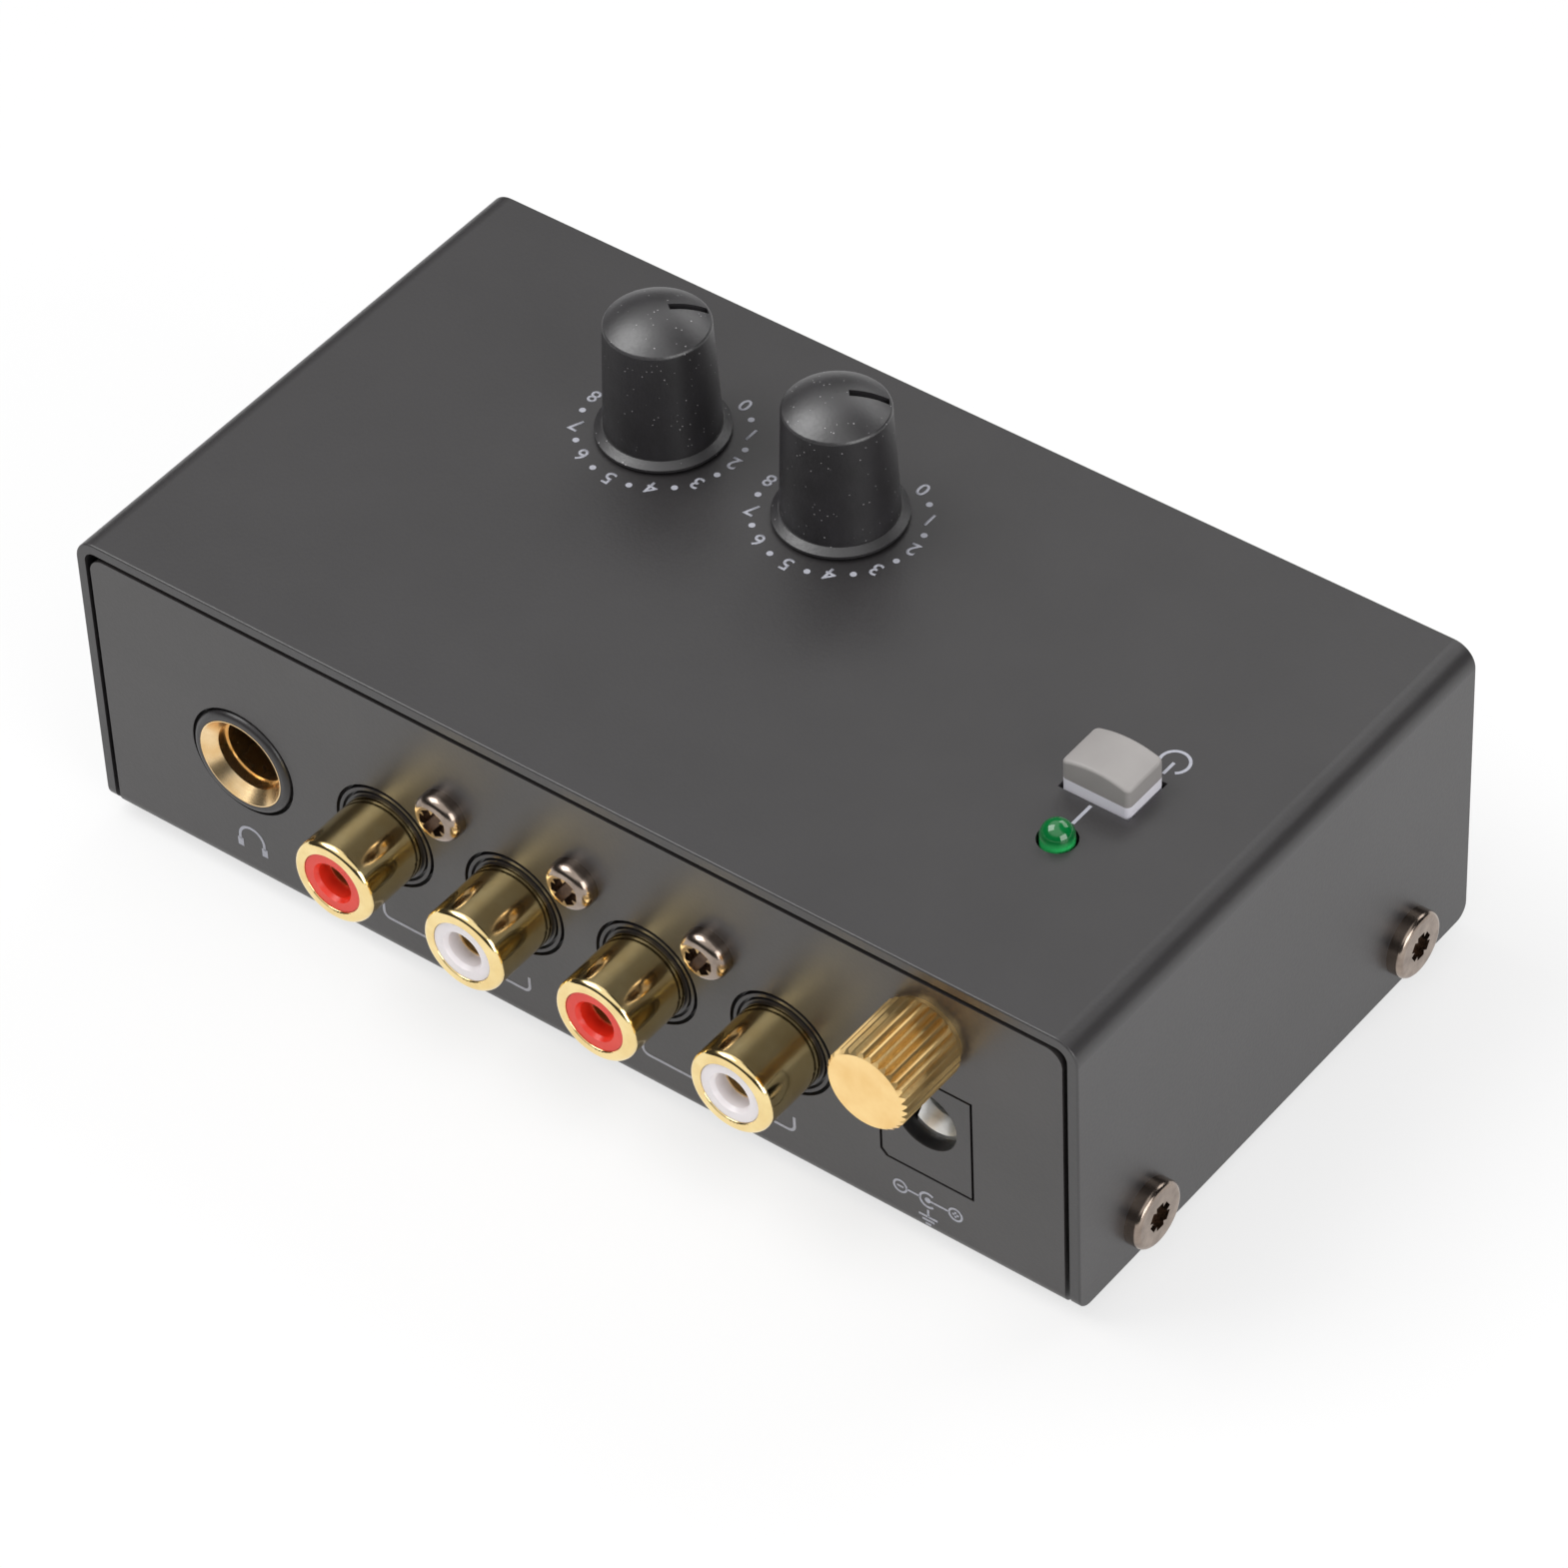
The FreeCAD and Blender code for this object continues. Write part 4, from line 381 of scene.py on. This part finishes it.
def printed(name, mesh, turn, thickness, material):
    """Turn a flat print into a thin layer of ink that lies on the case."""
    bmesh.ops.remove_doubles(mesh, verts=mesh.verts, dist=1e-6)
    bmesh.ops.recalc_face_normals(mesh, faces=mesh.faces)
    flat = list(mesh.faces)
    for face in flat:
        if face.normal.z < 0:
            face.normal_flip()
    raised = bmesh.ops.extrude_face_region(mesh, geom=flat, use_keep_orig=True)
    lifted = [v for v in raised["geom"] if isinstance(v, bmesh.types.BMVert)]
    bmesh.ops.translate(mesh, verts=lifted, vec=(0, 0, thickness))
    bmesh.ops.recalc_face_normals(mesh, faces=mesh.faces)
    data = bpy.data.meshes.new(name)
    mesh.to_mesh(data)
    mesh.free()
    data.transform(turn)
    data.materials.append(material)
    piece = bpy.data.objects.new(name, data)
    bpy.context.collection.objects.link(piece)
    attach(piece, "case")


# The top is read from behind the rear panel, so its print is turned half way round.
TOP = Matrix.Translation((0, 0, COVER_TOP)) @ Matrix.Rotation(math.pi, 4, "Z")
PANEL = Matrix.Translation((0, PANEL_FACE, CASE_BOTTOM)) @ Matrix.Rotation(math.pi / 2, 4, "X")

SCALE_MARKS = 21  # figures and dots round a knob, a dot after each figure
SCALE_START = 60  # degrees, where the scale starts, to run clockwise in the model's own frame
SCALE_STEP = 15  # degrees from one mark to the next
DOT_RADIUS = 0.3 * MM


def middle_x(node):
    """The middle of a node's box along the case."""
    low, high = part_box(node)
    return (low.x + high.x) / 2


# Settings

class PreampSizes(bpy.types.PropertyGroup):
    """Sizes of the print and the studio."""
    ink: FloatProperty(name="Ink", description="Thickness of the printed ink",
                       default=0.02 * MM, unit="LENGTH")
    line: FloatProperty(name="Line", description="Width of a printed line",
                        default=0.28 * MM, unit="LENGTH")
    scale_radius: FloatProperty(name="Scale radius", description="Knob axis to a printed figure",
                                default=7.57 * MM, unit="LENGTH")
    figure_height: FloatProperty(name="Figure height", description="Height of a scale figure",
                                 default=1.5 * MM, unit="LENGTH")
    floor: FloatProperty(name="Floor", description="Side of the studio floor",
                         default=6.0, unit="LENGTH")


class PreampColours(bpy.types.PropertyGroup):
    """Colours that a user would change, in linear light."""
    cover: FloatVectorProperty(name="Cover", description="Powder coat of the cover", size=4,
                               default=linear("#2b292a"), subtype="COLOR")
    panel: FloatVectorProperty(name="Panel", description="Powder coat of the panels", size=4,
                               default=linear("#2f2c2c"), subtype="COLOR")
    gold: FloatVectorProperty(name="Gold", description="Plating of the sockets", size=4,
                              default=linear("#fae3a8"), subtype="COLOR")
    ink: FloatVectorProperty(name="Ink", description="Screen print", size=4,
                             default=linear("#b4b5bf"), subtype="COLOR")
    knob: FloatVectorProperty(name="Knob", description="Soft moulding of the knobs", size=4,
                              default=linear("#1b191b"), subtype="COLOR")
    floor: FloatVectorProperty(name="Floor", description="Studio floor", size=4,
                               default=linear("#f8f8f8"), subtype="COLOR")


# Operators

class PREAMP_OT_case(bpy.types.Operator):
    """Finish the cover, the tray, the feet and every screw"""
    bl_idname = "preamp.case"
    bl_label = "Case"

    def execute(self, context):
        colours = context.scene.preamp_colours
        cover = tuple(colours.cover)
        panel = tuple(colours.panel)
        dress(powder_coat("Powder-coated steel cover", cover, linear("#2f2d2e")), "cover_coat")
        dress(powder_coat("Powder-coated steel panel", panel, linear("#353232")), "panel_coat")
        dress(moulded("Moulded rubber feet", linear("#1c1b1c"), linear("#242324"), 0.7),
              "foot_rubber")
        dress(plated("Black nickel screws", linear("#a8998d"), linear("#8d7f75"), 0.16),
              "screw_nickel")
        dress(brushed("Zinc-plated steel posts", linear("#b4b6b8"), linear("#9b9ea2"), 0.3),
              "standoff_steel")
        return {"FINISHED"}


class PREAMP_OT_sockets(bpy.types.Operator):
    """Finish the phono sockets, the jack, the power inlet and the ground terminal"""
    bl_idname = "preamp.sockets"
    bl_label = "Sockets"

    def execute(self, context):
        gold = tuple(context.scene.preamp_colours.gold)
        panel = tuple(context.scene.preamp_colours.panel)
        dress(turned("Gold-plated turned brass", gold, linear("#efd292"), 0.09, 0.35, 0.002),
              "gilt_brass")
        dress(turned("Satin gold-plated ferrule", linear("#f8dcae"), linear("#e6bf85"), 0.24, 0.3,
                     0.004), "ferrule_gilt")
        dress(plated("Gold-plated stamped contact", linear("#fbe2a6"), linear("#ecca86"), 0.38),
              "contact_gilt")
        dress(turned("Gold-plated knurled brass", linear("#ffdc9a"), linear("#f4ca84"), 0.26, 0.3,
                     0.008), "ground_brass")
        dress(plated("Tin-plated contact", linear("#f2f2f0"), linear("#d2d2cf"), 0.45),
              "contact_silver")
        dress(moulded("Moulded black socket block", linear("#2a282a"), linear("#312f31"), 0.3),
              "socket_plastic")
        dress(moulded("Moulded jack body", linear("#282627"), linear("#2f2d2e"), 0.32),
              "jack_plastic")
        # The near-black inside the inlet is partly its plastic and partly painted shade in the
        # bore.
        dress(faced_with_bore_shade("Black inlet with a sprayed face and painted bore shade", panel, linear("#121112"), 0.15),
              "inlet_plastic")
        dress(moulded("Moulded red insulator", linear("#e8301c"), linear("#f0412c"), 0.3),
              "insulator_red")
        dress(moulded("Moulded white insulator", linear("#eee8ea"), linear("#f6f0f2"), 0.3),
              "insulator_white")
        return {"FINISHED"}


class PREAMP_OT_controls(bpy.types.Operator):
    """Finish the knobs, the power button and the lamp"""
    bl_idname = "preamp.controls"
    bl_label = "Controls"

    def execute(self, context):
        knob = tuple(context.scene.preamp_colours.knob)
        dress(moulded("Soft-touch moulded knob", knob, linear("#262427"), 0.42, 0.3, 0.012,
                      speck=linear("#a5a2a4"), ior=1.85), "knob_rubber")
        dress(moulded("Moulded knob core", linear("#1c1b1c"), linear("#222122"), 0.5), "knob_core")
        dress(moulded("Moulded grey button cap", linear("#9e9a98"), linear("#a4a09e"), 0.5),
              "button_grey")
        dress(moulded("Moulded white button", linear("#eceaf4"), linear("#f4f2fa"), 0.35),
              "button_white")
        foot = COVER_TOP - LAMP_BELOW
        crown = COVER_TOP + LAMP_ABOVE
        # The pale green is a painted glow at the lamp's foot. The darker green is the resin's
        # tint.
        dress(clear_resin("Green lamp resin", linear("#067a3a"), linear("#3fe07a"), foot, crown),
              "lamp_green")
        return {"FINISHED"}


class PREAMP_OT_inside(bpy.types.Operator):
    """Finish the board and everything on it"""
    bl_idname = "preamp.inside"
    bl_label = "Inside"

    def execute(self, context):
        dress(solder_mask("Green solder mask", linear("#0f4a28"), linear("#1d6a3c")),
              "board_laminate")
        dress(brushed("Stamped steel can", linear("#a9acb0"), linear("#92959a"), 0.28), "pot_case")
        dress(plated("Die-cast zinc bushing", linear("#b8b8b6"), linear("#a2a2a0"), 0.3),
              "bushing_zinc")
        dress(turned("Turned aluminium shaft", linear("#d0d0d2"), linear("#bcbcbe"), 0.25, 0.3,
                     0.006), "shaft_aluminium")
        dress(moulded("Black switch moulding", linear("#1e1e1f"), linear("#262627"), 0.45),
              "switch_plastic", "spacer_plastic")
        dress(moulded("Natural nylon plunger", linear("#dedcd4"), linear("#e6e4dc"), 0.4),
              "plunger_plastic")
        dress(brushed("Spring steel wire", linear("#a8a8aa"), linear("#8e8e90"), 0.25),
              "spring_steel")
        dress(plated("Tinned copper leads", linear("#cfcfcc"), linear("#b6b6b3"), 0.25),
              "lead_tin")
        dress(moulded("Epoxy chip package", linear("#181819"), linear("#202021"), 0.55),
              "chip_plastic", "regulator_plastic")
        dress(banded("Shrink-sleeved capacitor", linear("#1b2138"), linear("#8f96a8"), 7.0, 0.5,
                     "X"), "can_sleeve")
        dress(moulded("Potted film capacitor", linear("#a8281c"), linear("#b43224"), 0.3),
              "film_box")
        dress(banded("Lacquered resistor", linear("#6f9fb6"), linear("#5a3320"), 1.3, 0.3, "Y"),
              "resistor_coat")
        return {"FINISHED"}


class PREAMP_OT_dials(bpy.types.Operator):
    """Print a scale of figures and dots round each knob, and the mark at the power button"""
    bl_idname = "preamp.dials"
    bl_label = "Top print"

    def execute(self, context):
        sizes = context.scene.preamp_sizes
        ink = screen_ink("Screen-printed grey ink", tuple(context.scene.preamp_colours.ink))
        for knob in ("volume_knob", "level_knob"):
            low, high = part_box(knob)
            centre = -(low + high) / 2
            scale = bmesh.new()
            for i in range(SCALE_MARKS):
                angle = math.radians(SCALE_START - SCALE_STEP * i)
                x = centre.x - sizes.scale_radius * math.cos(angle)
                y = centre.y - sizes.scale_radius * math.sin(angle)
                if i % 2:
                    disc(scale, x, y, DOT_RADIUS)
                else:
                    figure(scale, str(i // 2), x, y, sizes.figure_height)
            printed(f"{knob}_scale", scale, TOP, sizes.ink, ink)
        mark = bmesh.new()
        self.power(mark, sizes.line)
        printed("power_mark", mark, TOP, sizes.ink, ink)
        return {"FINISHED"}

    def power(self, mark, line):
        """A line from the button to the lamp, and a broken ring with a bar beyond the button."""
        from_button, from_lamp, thick = 0.55 * MM, -0.25 * MM, 1.1
        offset, radius = 2.6 * MM, 1.3 * MM
        ring_from, ring_to = 125, 415  # degrees
        bar_foot, bar_head = 0.1 * MM, 1.65 * MM
        x = -middle_x("button_cap")
        low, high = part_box("button_cap")
        lamp_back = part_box("power_lamp")[1].y
        stroke(mark, [(x, -low.y + from_button), (x, -lamp_back + from_lamp)], line * thick)
        side = x - offset
        y = -high.y - offset
        stroke(mark, arc(side, y, radius, ring_from, ring_to), line)
        stroke(mark, [(side, y + bar_foot), (side, y + bar_head)], line)


class PREAMP_OT_panel_print(bpy.types.Operator):
    """Print brackets, arrows and symbols under the sockets on the connector panel"""
    bl_idname = "preamp.panel_print"
    bl_label = "Panel print"

    def execute(self, context):
        sizes = context.scene.preamp_sizes
        line = sizes.line
        ink = bpy.data.materials["Screen-printed grey ink"]
        mark = bmesh.new()
        self.bracket(mark, line, "rca_shell_1", "rca_shell_2", 1)
        self.bracket(mark, line, "rca_shell_3", "rca_shell_4", -1)
        self.headphones(mark, line)
        self.polarity(mark, line)
        self.earth(mark, line)
        printed("panel_marks", mark, PANEL, sizes.ink, ink)
        return {"FINISHED"}

    def bracket(self, mark, line, first, second, way):
        """A bracket under a pair of sockets, and an arrow that points down (1) or up (-1)."""
        beyond, top, bottom, corner = 0.95 * MM, 5.5 * MM, 3.76 * MM, 0.65 * MM
        arrow_z, half, reach, wing = 2.3 * MM, 0.85 * MM, 0.95 * MM, 0.75 * MM
        a = middle_x(first) - beyond
        b = middle_x(second) + beyond
        left = arc(a + corner, bottom + corner, corner, 180, 270, 6)
        right = arc(b - corner, bottom + corner, corner, 270, 360, 6)
        stroke(mark, [(a, top)] + left + right + [(b, top)], line)
        middle = (a + b) / 2
        stroke(mark, [(middle, arrow_z - half), (middle, arrow_z + half)], line)
        tip = arrow_z - reach * way
        tail = tip + wing * way
        stroke(mark, [(middle - wing, tail), (middle, tip), (middle + wing, tail)], line)

    def headphones(self, mark, line):
        """A headband with two ear pieces, under the jack."""
        band_z, radius, stem, pad_top, pad_foot = 4.4 * MM, 1.35 * MM, 0.5 * MM, 0.4 * MM, 1.3 * MM
        pad_width = line * 2.2
        x = middle_x("jack_ferrule")
        stroke(mark, arc(x, band_z, radius, 0, 180), line)
        for edge in (x - radius, x + radius):
            stroke(mark, [(edge, band_z), (edge, band_z - stem)], line)
            stroke(mark, [(edge, band_z - pad_top), (edge, band_z - pad_foot)], pad_width)

    def polarity(self, mark, line):
        """Positive centre contact, under the power inlet."""
        z, cup, ring, spread, sign = 4.0 * MM, 0.8 * MM, 0.65 * MM, 2.8 * MM, 0.33 * MM
        cup_from, cup_to = 50, 310  # degrees
        past_centre = 0.4  # the line to the centre contact ends at this share of the cup's radius
        cup_line, fine = line * 0.8, line * 0.7
        x = middle_x("dc_inlet_body")
        stroke(mark, arc(x, z, cup, cup_from, cup_to), cup_line)
        disc(mark, x, z, DOT_RADIUS)
        for side, inner in ((-1, -cup), (1, cup * past_centre)):
            centre = x + side * spread
            stroke(mark, arc(centre, z, ring, 0, 360, 28)[:-1], fine, closed=True)
            stroke(mark, [(centre - sign, z), (centre + sign, z)], fine)
            stroke(mark, [(centre - side * ring, z), (x + inner, z)], fine)
        stroke(mark, [(x + spread, z - sign), (x + spread, z + sign)], fine)

    def earth(self, mark, line):
        """Earth symbol for the terminal above."""
        z, stem, pitch, thin = 2.0 * MM, 0.85 * MM, 0.42 * MM, line * 0.8
        halves = (0.95 * MM, 0.62 * MM, 0.28 * MM)
        x = middle_x("dc_inlet_body")
        stroke(mark, [(x, z + stem), (x, z)], thin)
        for i, half in enumerate(halves):
            drop = z - i * pitch
            stroke(mark, [(x - half, drop), (x + half, drop)], thin)


# Stage

AIM = (0, 0, 0.02)  # what the lamps point at, in metres
LAMPS = (  # name, place and size in metres, power in watts
    ("Key lamp", (-0.55, -0.25, 0.9), (0.7, 0.7), 6.4),
    ("Fill lamp", (1.0, -0.22, 0.36), (0.8, 0.6), 6.2),
    ("Rear lamp", (0.1, 0.9, 0.7), (0.9, 0.5), 3.2),
)
WHITE = (1, 1, 1, 1)
FLOOR_DROP = 0.02 * MM  # the floor lies this far under the feet
VEIL_START, VEIL_END = 0.07, 0.16  # metres from the middle, over which the shadow fades out
VEIL = 0.7  # share of white over the shadow next to the object
PALE_START, PALE_END = 0.42, 0.78  # rise of a direction, over which the surround turns pale
DIM = 0.02  # strength of the surround near the horizon
FLAG_WAY = (0.45, 0.55, 0.70)  # where the dark flag stands: up, behind and to the right
FLAG_EDGE, FLAG_CORE = 0.70, 0.88  # cosine of the angle to the flag's middle, at its edges
FLAG_LEFT = 0.03  # share of the light that the flag lets through
SENSOR, LENS = 36, 170.06  # millimetres
CAMERA_PLACE = (0.290185, -0.350275, 0.448547)  # metres
CAMERA_TURN = (46.2055, 2.0060, 37.3012)  # degrees


def area_light(name, place, size, power):
    """A soft rectangular lamp aimed at the object."""
    lamp = bpy.data.lights.new(name, "AREA")
    lamp.shape = "RECTANGLE"
    lamp.size, lamp.size_y = size
    lamp.energy = power
    item = bpy.data.objects.new(name, lamp)
    item.location = place
    item.rotation_euler = (Vector(AIM) - Vector(place)).to_track_quat("-Z", "Y").to_euler()
    bpy.context.collection.objects.link(item)


class PREAMP_OT_studio(bpy.types.Operator):
    """Build the pale floor, the soft lamps, the world and the camera"""
    bl_idname = "preamp.studio"
    bl_label = "Studio"

    def execute(self, context):
        self.floor(context)
        self.world(context)
        for name, place, size, power in LAMPS:
            area_light(name, place, size, power)
        self.camera(context)
        return {"FINISHED"}

    def floor(self, context):
        """A seamless white floor that keeps the shadow near the object."""
        side = context.scene.preamp_sizes.floor / 2
        mesh = bpy.data.meshes.new("studio_floor")
        mesh.from_pydata([(-side, -side, 0), (side, -side, 0), (side, side, 0), (-side, side, 0)],
                         [], [(0, 1, 2, 3)])
        item = bpy.data.objects.new("studio_floor", mesh)
        item.location.z = -FLOOR_DROP
        context.collection.objects.link(item)
        material, tree, out = start("Painted white floor")
        paint = add(tree, "BsdfDiffuse", {"Color": tuple(context.scene.preamp_colours.floor)})
        white = add(tree, "Emission", {"Color": WHITE, "Strength": 1.0})
        place = add(tree, "TexCoord").outputs["Object"]
        reach = add(tree, "VectorMath", {0: place}, operation="LENGTH").outputs["Value"]
        fade = add(tree, "MapRange", {"Value": reach, "From Min": VEIL_START,
                                      "From Max": VEIL_END},
                   interpolation_type="SMOOTHSTEP").outputs["Result"]
        rays = add(tree, "LightPath").outputs
        seen = maths(tree, "MAXIMUM", rays["Is Camera Ray"], rays["Is Glossy Ray"])
        seen = maths(tree, "MAXIMUM", seen, rays["Is Transmission Ray"])
        share = maths(tree, "MULTIPLY", seen, between(tree, fade, VEIL, 1.0))
        mix = add(tree, "MixShader", {0: share, 1: paint.outputs[0], 2: white.outputs[0]})
        tree.links.new(mix.outputs[0], out.inputs["Surface"])
        mesh.materials.append(material)

    def world(self, context):
        """White behind the object and in its reflections, with flags low down and to the right."""
        world = bpy.data.worlds.new("Studio")
        context.scene.world = world
        world.use_nodes = True
        tree = world.node_tree
        tree.nodes.clear()
        rays = add(tree, "LightPath").outputs
        way = add(tree, "TexCoord").outputs["Generated"]
        rise = add(tree, "SeparateXYZ", {"Vector": way}).outputs["Z"]
        level = add(tree, "MapRange", {"Value": rise, "From Min": PALE_START,
                                       "From Max": PALE_END, "To Min": DIM},
                    interpolation_type="SMOOTHSTEP").outputs["Result"]
        near = add(tree, "VectorMath", {0: way, 1: FLAG_WAY},
                   operation="DOT_PRODUCT").outputs["Value"]
        flag = add(tree, "MapRange", {"Value": near, "From Min": FLAG_EDGE,
                                      "From Max": FLAG_CORE, "To Min": 1.0,
                                      "To Max": FLAG_LEFT},
                   interpolation_type="SMOOTHSTEP").outputs["Result"]
        level = maths(tree, "MULTIPLY", level, flag)
        shine = maths(tree, "MULTIPLY", rays["Is Glossy Ray"], level)
        seen = maths(tree, "MAXIMUM", rays["Is Camera Ray"], rays["Is Transmission Ray"])
        seen = maths(tree, "MAXIMUM", seen, shine)
        dim = add(tree, "Background", {"Color": WHITE, "Strength": level})
        white = add(tree, "Background", {"Color": WHITE, "Strength": 1.0})
        mix = add(tree, "MixShader", {0: seen, 1: dim.outputs[0], 2: white.outputs[0]})
        out = add(tree, "OutputWorld")
        tree.links.new(mix.outputs[0], out.inputs["Surface"])

    def camera(self, context):
        """A long lens from above the corner between the connector panel and the right side."""
        data = bpy.data.cameras.new("Camera")
        data.sensor_width = SENSOR
        data.lens = LENS
        item = bpy.data.objects.new("Camera", data)
        item.location = CAMERA_PLACE
        item.rotation_euler = [math.radians(angle) for angle in CAMERA_TURN]
        context.collection.objects.link(item)
        context.scene.camera = item
        context.scene.view_settings.view_transform = "Standard"


class PREAMP_PT_panel(bpy.types.Panel):
    """Lists the steps in the order they are run"""
    bl_idname = "PREAMP_PT_panel"
    bl_label = "Phono preamp"
    bl_space_type = "VIEW_3D"
    bl_region_type = "UI"
    bl_category = "Preamp"

    def draw(self, context):
        for group in (context.scene.preamp_sizes, context.scene.preamp_colours):
            for name in group.__annotations__:
                self.layout.prop(group, name)
        for step in STEPS:
            self.layout.operator(step.bl_idname)


STEPS = (PREAMP_OT_case, PREAMP_OT_sockets, PREAMP_OT_controls, PREAMP_OT_inside, PREAMP_OT_dials,
         PREAMP_OT_panel_print, PREAMP_OT_studio)
CLASSES = (PreampSizes, PreampColours, *STEPS, PREAMP_PT_panel)


def register():
    for item in CLASSES:
        bpy.utils.register_class(item)
    bpy.types.Scene.preamp_sizes = PointerProperty(type=PreampSizes)
    bpy.types.Scene.preamp_colours = PointerProperty(type=PreampColours)


def unregister():
    del bpy.types.Scene.preamp_colours
    del bpy.types.Scene.preamp_sizes
    for item in reversed(CLASSES):
        bpy.utils.unregister_class(item)


def main():
    """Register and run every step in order."""
    register()
    bpy.ops.preamp.case()
    bpy.ops.preamp.sockets()
    bpy.ops.preamp.controls()
    bpy.ops.preamp.inside()
    bpy.ops.preamp.dials()
    bpy.ops.preamp.panel_print()
    bpy.ops.preamp.studio()


if __name__ == "__main__":
    main()
